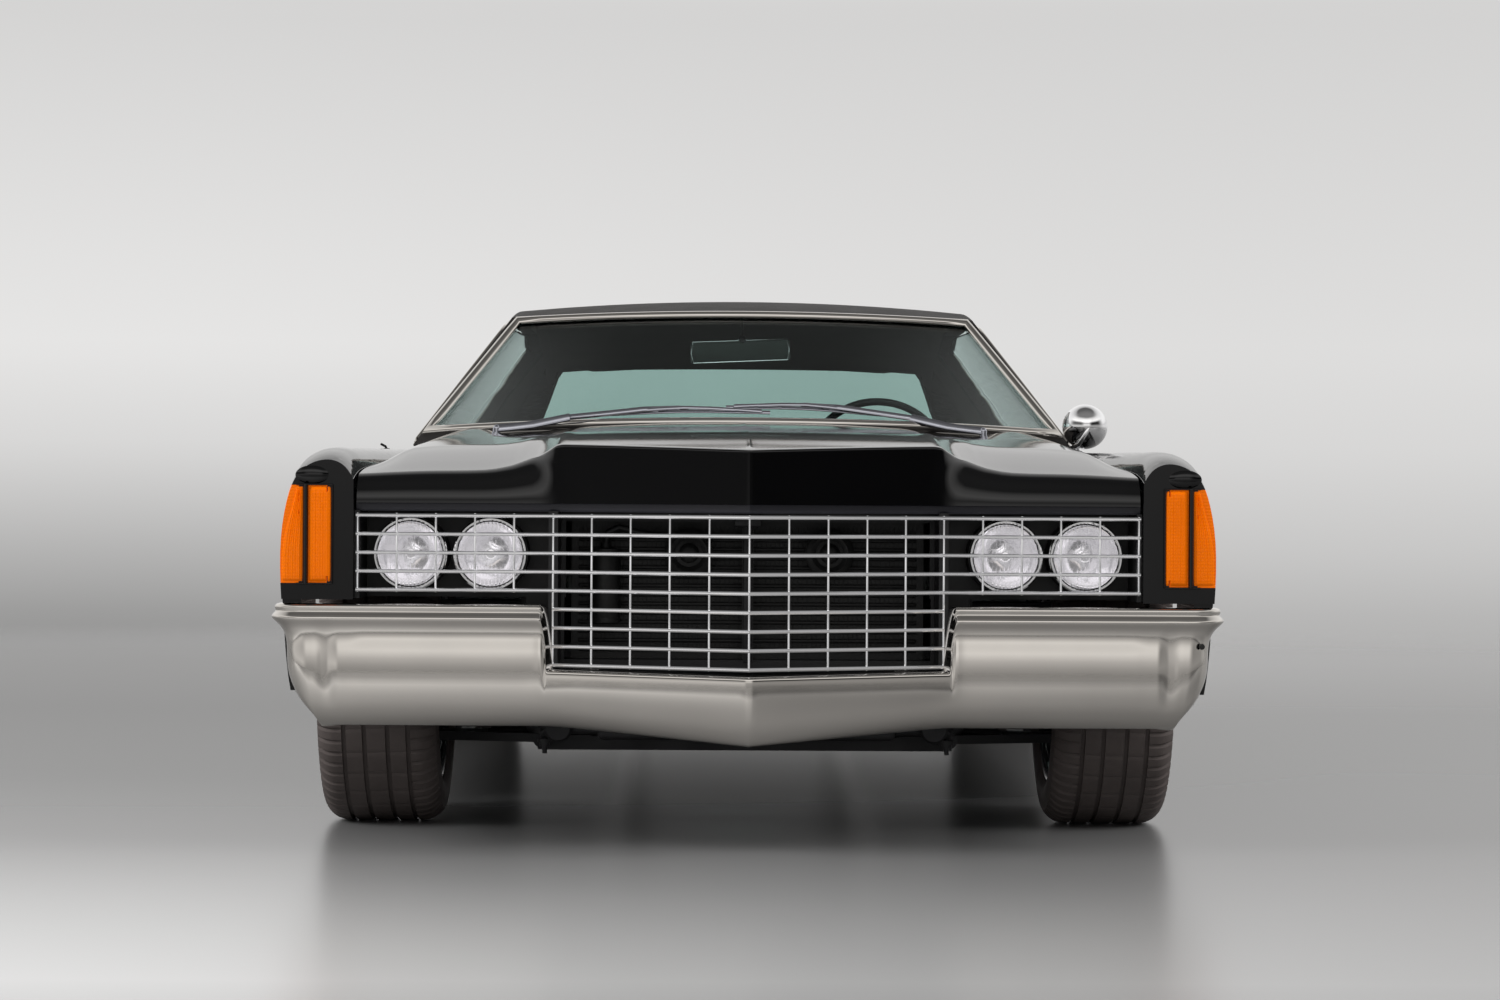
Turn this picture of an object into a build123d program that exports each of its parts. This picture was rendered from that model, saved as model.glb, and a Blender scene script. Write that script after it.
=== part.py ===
from build123d import *

import math
import os

# A late-1960s full-size two-door luxury coupe, lowered on modern wheels. Millimetres, Z up, nose
# at -Y, the car's own left at +X. The origin lies on the ground under the middle of the car.

# ---- driving dimensions ------------------------------------------------------------------------
NOSE_Y = -2806.5           # foremost point, the bumper's middle crease
TAIL_Y = 2806.5            # rearmost point, the rear bumper's face
FACE_Y = -2590.0           # plane of the fender tips
WHEELBASE = 3048.0
FRONT_AXLE_Y = -1821.0
REAR_AXLE_Y = FRONT_AXLE_Y + WHEELBASE
WHEEL_X = 830.0            # centre plane of each wheel
TYRE_R = 350.0
TYRE_WIDTH = 275.0
RIM_R = 238.0
ARCH_R = 402.0             # wheel opening radius
PANEL_GAP = 6.0            # shut line between body panels
MOVING_GAP = 7.5           # shut line at a door's rear edge and between the side windows
SEAT_GAP = 0.3             # running or seating clearance of fitted pieces
SKIN = 18.0                # hood and lid thickness
SIDE_WALL = 40.0           # fender and quarter wall
DOOR_WALL = 120.0          # whole door with its trim
ROOF_WALL = 34.0
PILLAR_WALL = 42.0
GLASS_INSET = 7.0
GLASS_THICK = 9.0          # measured level, so the raked panes are thinner across
HOOD_HALF = 838.0          # half width between the hood gaps
DECK_HALF = 700.0          # half width of the trunk lid
V_HALF = 415.0             # half width of the V in the nose
V_DEPTH = 185.0            # how far the V stands ahead of the wings
DOOR_FRONT_Y = -755.0
DOOR_REAR_Y = 560.0
ROCKER_TOP_Z = 245.0
ROCKER_LOW_Z = 195.0
FENDER_LOW_Z = 338.0       # fender's lower edge behind the bumper's end
BELT_Z = 890.0             # underside of the roof structure above the doors
HINGE_X = 955.0            # door hinge axis
HINGE_BACK = 38.0          # axis behind the door's front edge
HOOD_LIP_Z = 730.0
HOOD_REAR_MID_Y = -880.0
HOOD_REAR_SIDE_Y = -800.0
HOOD_REAR_GAP = 12.0
HOOD_AXIS = (-700.0, 850.0)      # (y, z)
LID_FRONT_Y = 1360.0
LID_GAP = 11.0
LID_AXIS = (1210.0, 900.0)       # (y, z)
LID_REAR_Y = 2668.0
BUMPER_TOP_Z = 525.0
BUMPER_LOW_Z = 266.0
BUMPER_LEDGE = 62.0
GRILLE_PITCH = 39.5
GRILLE_TOP_Z = 711.5
GRILLE_CELL = V_HALF / 5
LAMP_R = 73.0
LAMP_Z = 629.0
LAMP_X = (553.0, 725.0)
KINGPIN_X = WHEEL_X - 45.0
BALL_RISE = 152.0          # ball joints above and below the wheel's centre
HUB_R = 62.0
LINK_Z = 336.0
ARM_Y = 130.0              # steering arm's end behind the axle
RAIL_X = (400.0, 480.0)
RAIL_Z = (420.0, 510.0)
RAIL_FRONT_Y = -2385.7
PAN_Z = 215.7              # underside seat of the floor pan
CROSS_Z = 190.0            # underside of the low cross members
PIPE_R = 25.0              # exhaust pipe
KICK_Y = 645.0             # where the rear floor steps up
STEP_Z = 345.0
DISC_R = 160.0
STUB_R = 26.7
BARREL_WALL = 11.0
RIM_INSET = 14.0           # rim edge inside the tyre's side
FLANGE = 10.0
FLANGE_TALL = 14.0
PLATE_PITCH = 178.0        # spacing of the rear plate's holes
PLATE_Z = 640.0
PLATE_HOLE_R = 3.5

os.makedirs("parts", exist_ok=True)


# ---- small helpers -----------------------------------------------------------------------------
def save(shape, node):
    """Write one node."""
    shape.label = node
    export_step(shape, "parts/" + node + ".step")


def follow(table, y):
    """Smooth value at y through (y, value) pairs, level beyond the ends."""
    if y <= table[0][0]:
        return table[0][1]
    if y >= table[-1][0]:
        return table[-1][1]
    slopes = []
    for i in range(len(table)):
        low = table[max(i - 1, 0)]
        high = table[min(i + 1, len(table) - 1)]
        slopes.append((high[1] - low[1]) / (high[0] - low[0]))
    for i in range(len(table) - 1):
        y0, v0 = table[i]
        y1, v1 = table[i + 1]
        if y <= y1:
            h = y1 - y0
            t = (y - y0) / h
            return (v0 * (2 * t**3 - 3 * t**2 + 1) + slopes[i] * h * (t**3 - 2 * t**2 + t)
                    + v1 * (3 * t**2 - 2 * t**3) + slopes[i + 1] * h * (t**3 - t**2))


def block(x0, x1, y0, y1, z0, z1):
    """Box between two corners."""
    return Pos((x0 + x1) / 2, (y0 + y1) / 2, (z0 + z1) / 2) * Box(x1 - x0, y1 - y0, z1 - z0)


def both(shape):
    """The shape and its mirror image across the middle plane, as separate solids."""
    return Compound(children=[shape, mirror(shape, about=Plane.YZ)])


def tube(x, y, z, radius, length, axis):
    """Solid bar centred on a point along X, Y or Z."""
    turn = {"X": Rot(0, 90, 0), "Y": Rot(90, 0, 0), "Z": Rot(0, 0, 0)}[axis]
    return Pos(x, y, z) * turn * Cylinder(radius, length)


def rod(start, end, radius):
    """Round bar between two points."""
    line = Edge.make_line(start, end)
    return Solid.sweep(Wire([Edge.make_circle(radius, Plane(start, z_dir=line % 0))]), line)


def prism(points, plane, low, high):
    """Polygon given as (a, b) pairs in XY, XZ or YZ, extruded along the third axis."""
    place = {
        "XY": lambda a, b: (a, b, low),
        "XZ": lambda a, b: (a, low, b),
        "YZ": lambda a, b: (low, a, b),
    }[plane]
    way = {"XY": (0, 0, 1), "XZ": (0, 1, 0), "YZ": (1, 0, 0)}[plane]
    face = Face(Wire.make_polygon([place(a, b) for a, b in points], close=True))
    return Solid.extrude(face, Vector(way) * (high - low))


def stations(y0, y1, step=260.0):
    """Evenly spread section planes from y0 to y1."""
    count = max(3, math.ceil((y1 - y0) / step))
    return [y0 + (y1 - y0) * i / count for i in range(count + 1)]


# ---- body side ---------------------------------------------------------------------------------
SIDE_X = ((-2600, 990), (-2450, 999), (-2000, 1007), (-1200, 1012), (0, 1014.5), (900, 1012),
          (1700, 1002), (2300, 990), (2700, 976))
CROWN_Z = ((-2600, 826), (-2540, 842), (-2400, 856), (-2000, 862), (-1400, 868), (-800, 874),
           (0, 878), (500, 884), (900, 902), (1300, 906), (1900, 890), (2400, 868), (2700, 850))
GAP_X = ((-2600, 838), (-700, 838), (1000, 760), (1340, 703), (1500, 701), (1700, 700), (2700, 700))
GAP_Z = ((-2600, 786), (-2520, 800), (-2380, 813), (-2090, 825), (-1600, 845), (-1000, 864),
         (-740, 872), (0, 880), (800, 905), (1340, 935), (1900, 918), (2400, 888), (2700, 858))


def side_outline(y, inset):
    """Outer skin points (x, z) from the top gap down to the sill, moved inwards by inset."""
    wide = follow(SIDE_X, y)
    crown = follow(CROWN_Z, y)
    top = [(follow(GAP_X, y), follow(GAP_Z, y) - inset), (wide - 96, crown - inset)]
    bend = [(wide - 44 - inset * 0.6, crown - 22 - inset * 0.75)]
    side = [(wide - 14 - inset, crown - 82), (wide - inset, 655), (wide - 6 - inset, 480),
            (wide - 30 - inset, 300), (wide - 78 - inset, ROCKER_LOW_Z)]
    return top + bend + side


def side_section(y, inset):
    """Closed section of the body side at y."""
    pts = side_outline(y, inset)
    spread = 60 if inset else 0
    low = (pts[-1][0], y, pts[-1][1] - spread)
    foot = (pts[0][0] - spread - 1, y, low[2])
    head = (foot[0], y, pts[0][1])
    first = (pts[0][0], y, pts[0][1])
    last = (pts[-1][0], y, pts[-1][1])
    skin = Edge.make_spline([(x, y, z) for x, z in pts])
    lines = [Edge.make_line(last, (last[0] - 1, y, low[2] - 1)), Edge.make_line((last[0] - 1, y, low[2] - 1), foot),
             Edge.make_line(foot, head), Edge.make_line(head, first)]
    return Wire([skin] + lines)


def side_block(y0, y1, inset):
    """Solid of the left body side between two stations."""
    return Solid.make_loft([side_section(y, inset) for y in stations(y0, y1)])


def side_wall(y0, y1, wall, front_wall=0.0, rear_wall=0.0):
    """Body side panel of one wall thickness, with end walls where they are given."""
    inner = side_block(y0 + (front_wall or -20), y1 - (rear_wall or -20), wall)
    return side_block(y0, y1, 0) - inner


def arch(axle_y, radius):
    """Wheel opening cutter through both body sides, flattened a little at its top."""
    round_cut = tube(0, axle_y, TYRE_R, radius, 2600, "X")
    return round_cut & block(-1300, 1300, axle_y - 600, axle_y + 600, 0, TYRE_R + radius - 26)


def hinge_turn(extra):
    """Body of revolution that a door's front edge turns in, grown by extra."""
    axis_y = DOOR_FRONT_Y + HINGE_BACK
    skin = side_outline(DOOR_FRONT_Y, 0)[2:]
    reach = [(math.hypot(max(x - HINGE_X, 3), HINGE_BACK) + extra, z) for x, z in skin]
    top = reach[0][1] + 40
    edge = Edge.make_spline([(r, 0, z) for r, z in reach])
    wire = Wire([Edge.make_line((0, 0, top), (reach[0][0], 0, top)),
                 Edge.make_line((reach[0][0], 0, top), (reach[0][0], 0, reach[0][1])), edge,
                 Edge.make_line((reach[-1][0], 0, reach[-1][1]), (0, 0, reach[-1][1])),
                 Edge.make_line((0, 0, reach[-1][1]), (0, 0, top))])
    return Pos(HINGE_X, axis_y, 0) * revolve(Face(wire), Axis.Z, 360)



# ---- hood, cowl and deck surfaces --------------------------------------------------------------
HOOD_MID_Z = ((-2800, 846), (-2590, 866), (-2380, 886), (-2200, 898), (-1900, 912), (-1500, 929),
              (-1000, 946), (-600, 954))
HOOD_X = (0, 210, 380, 428, 470, 512, 560, 700, HOOD_HALF)
HOOD_NOSE_SHARE = (1, 0.975, 0.94, 0.87, 0.56, 0.25, 0.07, 0.02, 0)
HOOD_COWL_SHARE = (1, 0.965, 0.862, 0.82, 0.775, 0.725, 0.663, 0.44, 0)
DECK_MID_Z = ((1000, 985), (1340, 962), (1800, 950), (2300, 922), (2700, 884))
DECK_SHARE = (1, 0.97, 0.908, 0.878, 0.845, 0.8, 0.735, 0.42, 0)


def hood_row(y):
    """Top points (x, z) of the hood from the middle crease to the left gap."""
    share = min(max((y + 2590) / 1790, 0), 1) ** 1.3
    edge = follow(GAP_Z, y)
    rise = follow(HOOD_MID_Z, y) - edge
    return [(x, edge + rise * (a + (b - a) * share))
            for x, a, b in zip(HOOD_X, HOOD_NOSE_SHARE, HOOD_COWL_SHARE)]


def deck_row(y):
    """Top points (x, z) of the rear deck from the middle crease to the left gap."""
    edge = follow(GAP_Z, y)
    rise = follow(DECK_MID_Z, y) - edge
    return [(x * DECK_HALF / HOOD_HALF, edge + rise * s) for x, s in zip(HOOD_X, DECK_SHARE)]


def crest_block(row, y0, y1, drop, widen=0.0, floor=600.0):
    """Solid under a creased top surface, lowered by drop."""
    wires = []
    for y in stations(y0, y1, 300.0):
        pts = [(x, y, z - drop) for x, z in row(y)]
        if widen:
            pts[-1] = (pts[-1][0] + widen, y, pts[-1][2])
        left = Edge.make_spline([Vector(*p) for p in pts])
        right = Edge.make_spline([Vector(-p[0], p[1], p[2]) for p in reversed(pts)])
        edge = pts[-1][0]
        down = Edge.make_line(pts[-1], (edge, y, floor))
        base = Edge.make_line((edge, y, floor), (-edge, y, floor))
        up = Edge.make_line((-edge, y, floor), (-edge, y, pts[-1][2]))
        wires.append(Wire([left, down, base, up, right]))
    return Solid.make_loft(wires)


def nose_region(shift):
    """Space behind the V-shaped nose, its front face leaning back, moved back by shift."""
    wires = []
    for z, lean in ((560, -20), (960, 40)):
        side_y = FACE_Y + 6 + shift + lean
        tip_y = side_y - V_DEPTH
        half = V_HALF
        points = [(-1200, side_y), (-half, side_y), (0, tip_y), (half, side_y), (1200, side_y),
                  (1200, 0), (-1200, 0)]
        wires.append(Wire.make_polygon([(x, y, z) for x, y in points], close=True))
    return Solid.make_loft(wires, ruled=True)


def arc_region(side_x, side_y, mid_y, far_y, low=500.0, high=1200.0):
    """Plan region between a curved line across the car and a straight one at far_y."""
    arc = Edge.make_three_point_arc((-side_x, side_y, low), (0, mid_y, low), (side_x, side_y, low))
    ends = Wire([arc, Edge.make_line((side_x, side_y, low), (side_x, far_y, low)),
                 Edge.make_line((side_x, far_y, low), (-side_x, far_y, low)),
                 Edge.make_line((-side_x, far_y, low), (-side_x, side_y, low))])
    return Solid.extrude(Face(ends), Vector(0, 0, high - low))


# ---- greenhouse --------------------------------------------------------------------------------
ROOF_Z = ((-900, 1130), (-600, 1212), (-340, 1268), (-100, 1303), (150, 1318), (450, 1307),
          (750, 1266), (950, 1206), (1300, 1080))
ROOF_HALF = 900.0          # half width over which the roof line drops by ROOF_DROP
ROOF_DROP = 63.0


def plan_values(z):
    """Half widths and end lines of the greenhouse at a height."""
    up = z - 925
    return {
        "front_mid": -838 + 1.57 * (z - 950), "front_side": -640 + 1.185 * up,
        "front_x": 852 - 0.655 * up, "side_x": 866 - 0.64 * up - 0.00009 * up * up,
        "rear_x": 806 - 0.72 * up, "rear_side": 1215 - 1.28 * up, "rear_mid": 1335 - 1.39 * up,
    }


def greenhouse(inset, low=830.0, high=1340.0):
    """Solid of the greenhouse, all its walls moved in by inset, without its crown."""
    wires = []
    for i in range(5):
        z = low + (high - low) * i / 4
        v = plan_values(z)
        front_y = v["front_mid"] + inset * 1.6
        corner_y = v["front_side"] + inset * 1.3
        rear_y = v["rear_mid"] - inset * 1.6
        back_y = v["rear_side"] - inset * 1.3
        fx = v["front_x"] - inset
        sx = v["side_x"] - inset
        rx = v["rear_x"] - inset
        front = Edge.make_three_point_arc((-fx, corner_y, z), (0, front_y, z), (fx, corner_y, z))
        left = Edge.make_three_point_arc((fx, corner_y, z), (sx, 150, z), (rx, back_y, z))
        back = Edge.make_three_point_arc((rx, back_y, z), (0, rear_y, z), (-rx, back_y, z))
        right = Edge.make_three_point_arc((-rx, back_y, z), (-sx, 150, z), (-fx, corner_y, z))
        wires.append(Wire([front, left, back, right]))
    return Solid.make_loft(wires)


def crown(drop):
    """Solid below the roof's crowned surface, lowered by drop."""
    wires = []
    for y in stations(-900, 1300, 300.0):
        z = follow(ROOF_Z, y) - drop
        low = z - ROOF_DROP
        arc = Edge.make_three_point_arc((-ROOF_HALF, y, low), (0, y, z), (ROOF_HALF, y, low))
        wires.append(Wire([arc, Edge.make_line((ROOF_HALF, y, low), (ROOF_HALF, y, 700)),
                           Edge.make_line((ROOF_HALF, y, 700), (-ROOF_HALF, y, 700)),
                           Edge.make_line((-ROOF_HALF, y, 700), (-ROOF_HALF, y, low))]))
    wide = Solid.make_loft(wires)
    return wide + block(-1000, 1000, -1000, 1500, 700, 960 - drop)


def cross_window(bottom, top, y0, y1, inset):
    """Cutter along Y for a pane with curved lower and upper edges: (half x, corner z, middle z)."""
    bx, bz, bm = bottom[0] - inset, bottom[1] + inset, bottom[2] + inset
    tx, tz, tm = top[0] - inset, top[1] - inset, top[2] - inset
    low = Edge.make_three_point_arc((-bx, y0, bz), (0, y0, bm), (bx, y0, bz))
    high = Edge.make_three_point_arc((tx, y0, tz), (0, y0, tm), (-tx, y0, tz))
    wire = Wire([low, Edge.make_line((bx, y0, bz), (tx, y0, tz)), high,
                 Edge.make_line((-tx, y0, tz), (-bx, y0, bz))])
    return Solid.extrude(Face(wire), Vector(0, y1 - y0, 0))


def side_window(inset):
    """Cutter along X through both sides for the door and quarter windows together."""
    points = [(-648 + inset, 700), (-648 + inset, 872), (-232 + inset * 1.6, 1214 - inset),
              (-40, 1236 - inset), (150, 1242 - inset), (400, 1232 - inset),
              (640 - inset, 1190 - inset), (770 - inset * 1.6, 872), (770 - inset, 700)]
    return prism(points, "YZ", -1200, 1200)


WINDSHIELD_EDGE = ((832, 934, 961), (616, 1236, 1250))
BACKLIGHT_EDGE = ((640, 968, 985), (556, 1146, 1156))


def glass_shell(play=0.0):
    """Thin shell in which all the panes lie, thicker by play on each side."""
    return greenhouse(GLASS_INSET - play) - greenhouse(GLASS_INSET + GLASS_THICK + play)


ROCKER_SEAT_Z = ROCKER_TOP_Z - PANEL_GAP + SEAT_GAP
HINGE_Y = DOOR_FRONT_Y + HINGE_BACK
HINGE_Z = (420.0, 700.0)
HINGE_TALL = 64.0
PIN_R = 8.0


def make_fender():
    """Left front fender with its wheel opening and the curved end the door turns in."""
    panel = side_wall(FACE_Y, HINGE_Y, SIDE_WALL, front_wall=SIDE_WALL)
    panel -= arch(FRONT_AXLE_Y, ARCH_R)
    panel -= hinge_turn(PANEL_GAP)
    panel -= block(700, 1100, HINGE_Y - 4, HINGE_Y + 10, 0, 1200)
    panel -= lamp_pocket(0.0)
    panel -= block(800, 1100, FACE_Y - 50, FACE_Y + SIDE_WALL + 1, 0, BUMPER_TOP_Z + 8)
    panel -= block(800, 1100, FRONT_AXLE_Y, HINGE_Y + 20, 0, ROCKER_SEAT_Z)
    panel -= block(700, 1100, FACE_Y - 50, FRONT_AXLE_Y - 250, 0, FENDER_LOW_Z)
    return panel


def lamp_pocket(play):
    """Space of the two amber lenses in the left fender tip."""
    reach = side_block(FACE_Y, FACE_Y + 260, 0) if not play else side_block(FACE_Y, FACE_Y + 260, play)
    inner = block(892 + play, 938 - play, FACE_Y - 5, FACE_Y + 22 - play, 567 + play, 775 - play)
    outer = block(952 + play, 1100, FACE_Y - 5, FACE_Y + 74 - play, 567 + play, 775 - play)
    return (inner + outer) & reach


def make_door():
    """Left door, hollow of nothing but its hinge pockets, window slot and turning edge."""
    panel = side_block(HINGE_Y - 100, DOOR_REAR_Y, 0) & block(868, 1100, -900, 700, ROCKER_TOP_Z, 1000)
    panel -= side_block(HINGE_Y - 140, DOOR_REAR_Y + 40, DOOR_WALL) & block(700, 890, -900, 700, 0, 700)
    keep = hinge_turn(0.0) + block(700, 1100, HINGE_Y, 900, 0, 1200)
    panel = panel & keep
    slot = glass_shell(SEAT_GAP) & block(700, 1000, -700, 600, 851, 1300)
    panel -= slot
    for z in HINGE_Z:
        panel -= block(800, 982, HINGE_Y - 110, HINGE_Y + 20, z - HINGE_TALL / 2, z + HINGE_TALL / 2)
        panel += tube(HINGE_X, HINGE_Y, z, PIN_R, HINGE_TALL + 20, "Z")
    return panel


def make_hinge_brackets():
    """Arms that carry the door pins and the hood pins on the left."""
    parts = []
    tall = HINGE_TALL - 2 * PANEL_GAP
    for z in HINGE_Z:
        arm = block(842, HINGE_X, HINGE_Y - 12, HINGE_Y + 12, z - tall / 2, z + tall / 2)
        arm += tube(HINGE_X, HINGE_Y, z, 17, tall, "Z")
        arm += block(842, 862, POST_REAR_Y, HINGE_Y + 12, z - tall / 2, z + tall / 2)
        parts.append(arm - tube(HINGE_X, HINGE_Y, z, PIN_R + SEAT_GAP, tall + 10, "Z"))
    return parts


POST_REAR_Y = -806.0
POST_FRONT_Y = -860.0
FIREWALL_Y = -800.0
WEB_TOP_Z = 780.0


def make_hood():
    """Hood with its raised middle, V-shaped front face and two goose-neck hinge arms."""
    half = HOOD_HALF - PANEL_GAP
    outer = crest_block(hood_row, NOSE_Y, -700, 0) & nose_region(0)
    inner = crest_block(hood_row, NOSE_Y, -680, SKIN, widen=10, floor=590) & nose_region(SKIN)
    keep = arc_region(half, HOOD_REAR_SIDE_Y, HOOD_REAR_MID_Y, -2950, low=HOOD_LIP_Z)
    panel = (outer - inner) & keep
    ay, az = HOOD_AXIS
    neck = prism([(ay + 10, az), (ay - 40, az - 62), (ay - 150, az - 34), (ay - 240, az - 40),
                  (ay - 240, az + 60), (ay - 150, az + 60), (ay - 140, az - 10),
                  (ay - 44, az - 38), (ay - 8, az + 8)], "YZ", 798, 806)
    neck &= crest_block(hood_row, -1200, -500, SKIN / 2)
    neck += tube(809, ay, az, 7, 22, "X")
    arms = neck + mirror(neck, about=Plane.YZ)
    return panel + arms


def make_hood_brackets():
    """Plates beside the cowl that carry the hood pins."""
    ay, az = HOOD_AXIS
    plate = block(811, 834, FIREWALL_Y + 1, ay + 16, az - 22, az + 12)
    plate += block(811, 834, FIREWALL_Y + 1, FIREWALL_Y + 30, WEB_TOP_Z + SEAT_GAP, az)
    return plate - tube(811, ay, az, 7 + SEAT_GAP, 30, "X")


def make_firewall():
    """Firewall, cowl top and the two hinge posts."""
    under = crest_block(hood_row, -1000, -500, SKIN * 2 + 8, widen=20)
    wall = block(-790, 790, FIREWALL_Y, FIREWALL_Y + 30, 236, 1000) & under
    top = crest_block(hood_row, -1000, -560, SKIN) - crest_block(hood_row, -1020, -540, SKIN * 2, widen=30, floor=590)
    edge = HOOD_REAR_GAP
    top &= arc_region(792, HOOD_REAR_SIDE_Y + edge, HOOD_REAR_MID_Y + edge, -575)
    post = prism([(838, 240), (914, 240), (930, 280), (930, 822), (838, 822)], "XZ", POST_FRONT_Y, POST_REAR_Y)
    posts = both(post)
    webs = both(block(780, 840, FIREWALL_Y - 30, FIREWALL_Y + 10, 240, WEB_TOP_Z))
    rib = block(-780, 780, FIREWALL_Y, FIREWALL_Y + 30, 780, 1000) & crest_block(hood_row, -1000, -500, SKIN * 2 - 1)
    cage = greenhouse(0) & block(-900, 900, -1000, -300, 884, 1300)
    return (wall + rib + top) - cage + webs + posts


def make_roof():
    """Roof, pillars and window frames in one pressed structure."""
    shell = (greenhouse(0) & crown(0)) - (greenhouse(PILLAR_WALL) & crown(ROOF_WALL))
    shell &= block(-1000, 1000, -1200, 1500, 884, 1400)
    shell -= cross_window(*WINDSHIELD_EDGE, -1200, 0, 0)
    shell -= cross_window(*BACKLIGHT_EDGE, 700, 1500, 0)
    shell -= side_window(0)
    shell -= both(side_block(HINGE_Y - 100, 1500, -4 * SEAT_GAP))
    shell -= both(block(780, 1000, -720, DOOR_REAR_Y + 10, 800, BELT_Z))
    shell -= block(-640, 640, 1100, 1500, 800, 925)
    return shell


def make_panes():
    """Windshield, backlight, door glasses and quarter glasses."""
    shell = glass_shell() & crown(ROOF_WALL / 2)
    side = shell & side_window(SEAT_GAP)
    door = side & block(0, 1000, -700, DOOR_REAR_Y - 2, 852, 1300)
    door -= block(0, 1000, -700, 700, 1228, 1300)
    quarter = side & block(0, 1000, DOOR_REAR_Y - 2 + MOVING_GAP, 900, 861, 1300)
    front = shell & cross_window(*WINDSHIELD_EDGE, -1200, 0, SEAT_GAP)
    back = shell & cross_window(*BACKLIGHT_EDGE, 700, 1500, SEAT_GAP)
    return front, back, door, quarter


def make_quarter():
    """Left quarter panel with its wheel opening."""
    panel = side_wall(DOOR_REAR_Y + MOVING_GAP, 2700, SIDE_WALL + 20, rear_wall=SIDE_WALL)
    panel -= arch(REAR_AXLE_Y, ARCH_R - 8)
    panel -= block(600, 1100, DOOR_REAR_Y, 840, 0, ROCKER_SEAT_Z) + block(600, 1100, 830, 2900, 0, 300)
    panel -= glass_shell(SEAT_GAP) & block(700, 1000, 555, 790, 860, 1300)
    panel -= block(955, 1100, 2640, 2800, 470, 820)
    return panel


def make_lid():
    """Trunk lid with goose-neck arms."""
    half = DECK_HALF - PANEL_GAP
    skin = crest_block(deck_row, 1300, 2700, 0) - crest_block(deck_row, 1290, 2710, SKIN, widen=20)
    skin &= block(-half, half, LID_FRONT_Y, LID_REAR_Y, 700, 1200)
    ay, az = LID_AXIS
    neck = prism([(ay - 12, az), (ay + 66, az - 162), (ay + 212, az - 132), (ay + 262, az + 20),
                  (ay + 240, az + 30), (ay + 192, az - 110), (ay + 78, az - 138), (ay + 12, az + 4)],
                 "YZ", 556, 566)
    neck += tube(570, ay, az, 7, 30, "X")
    neck &= crest_block(deck_row, 1000, 2700, SKIN / 2)
    return skin + neck + mirror(neck, about=Plane.YZ)


def make_deck():
    """Panel under the backlight, shelf behind the rear seat and the lid's hinge plates."""
    top = crest_block(deck_row, 1120, 1500, 0) - crest_block(deck_row, 1110, 1510, SKIN, widen=20)
    top &= block(-DECK_HALF + 2, DECK_HALF - 2, 1120, LID_FRONT_Y - LID_GAP, 700, 1200)
    shelf = block(-690, 690, 860, 1310, 840, 856)
    bulk = block(-600, 600, 1290, 1310, 365 + SEAT_GAP, 856) + block(-660, 660, 1290, 1347, 840, 856)
    rise = block(-636, 636, 1329, 1347, 850, 990) & crest_block(deck_row, 1100, 1500, SKIN - 1)
    ay, az = LID_AXIS
    plates = both(block(572, 590, ay - 30, ay + 30, 850, az + 20)
                  - tube(575, ay, az, 7 + SEAT_GAP, 60, "X"))
    cut = both(block(540, 571, ay - 30, 1500, 700, 925))
    cage = greenhouse(0) & (block(-900, 900, 800, 1500, 884, 1300) - block(-639, 639, 1101, 1510, 880, 924.7))
    return (shelf + bulk + rise + top) - cut - cage + plates


# ---- wheels ------------------------------------------------------------------------------------
def revolve_x(points, x, y, z):
    """Turned body about a lateral axis: points are (axial, radius) pairs."""
    face = Face(Wire.make_polygon([(a, r, 0) for a, r in points], close=True))
    return Pos(x, y, z) * revolve(face, Axis.X, 360)


def make_tyre(x, y):
    """Low tyre with rounded shoulders."""
    half = TYRE_WIDTH / 2
    bead = half - RIM_INSET - FLANGE - SEAT_GAP
    one = [(bead, RIM_R + SEAT_GAP), (bead, RIM_R + FLANGE_TALL + 1), (half - 4, RIM_R + 26),
           (half, RIM_R + 48), (half - 6, TYRE_R - 34), (half - 22, TYRE_R - 8), (half - 42, TYRE_R)]
    points = one + [(-a, r) for a, r in reversed(one)]
    return revolve_x(points, x, y, TYRE_R)


def make_wheel(x, y):
    """Rim with a dished face, hub and brake disc."""
    out = 1 if x > 0 else -1
    half = TYRE_WIDTH / 2 - RIM_INSET
    r = RIM_R
    w = BARREL_WALL
    lip = r + FLANGE_TALL
    points = [(-half, lip), (-half, r - w), (60, r - w), (60, 124), (30, 112), (30, DISC_R),
              (8, DISC_R), (8, STUB_R + SEAT_GAP), (64, STUB_R + SEAT_GAP), (64, 0), (94, 0), (94, 62),
              (84, 82), (76, 120), (76, r - 26), (half - 6, r - w + 2), (half, lip),
              (half - FLANGE, lip), (half - FLANGE, r), (-half + FLANGE, r), (-half + FLANGE, lip)]
    return revolve_x([(a * out, b) for a, b in points], x, y, TYRE_R)


def make_knuckle():
    """Left knuckle: upright, bearing housing, stub, steering arm and caliper."""
    x, y, z = KINGPIN_X, FRONT_AXLE_Y, TYRE_R
    tall = 2 * (BALL_RISE - 11 - SEAT_GAP)
    part = tube(x, y, z, 22, tall, "Z") + tube(x + 12, y, z, HUB_R, 70, "X")
    part += tube(x + 70, y, z, STUB_R, 72, "X")
    part += block(x - 14, x + 14, y, y + ARM_Y + 5, z - 62, z - 44)
    part += tube(x, y + ARM_Y, z - 48, 18, 28, "Z")
    part += block(x - 20, x + 42, y - 150, y - 30, z - 30, z + 30)
    part += block(x + 32, x + 98, y - 205, y - 134, z - 70, z + 70) - block(
        x + 45, x + 84, y - 172, y, z - 90, z + 90)
    return part


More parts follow.
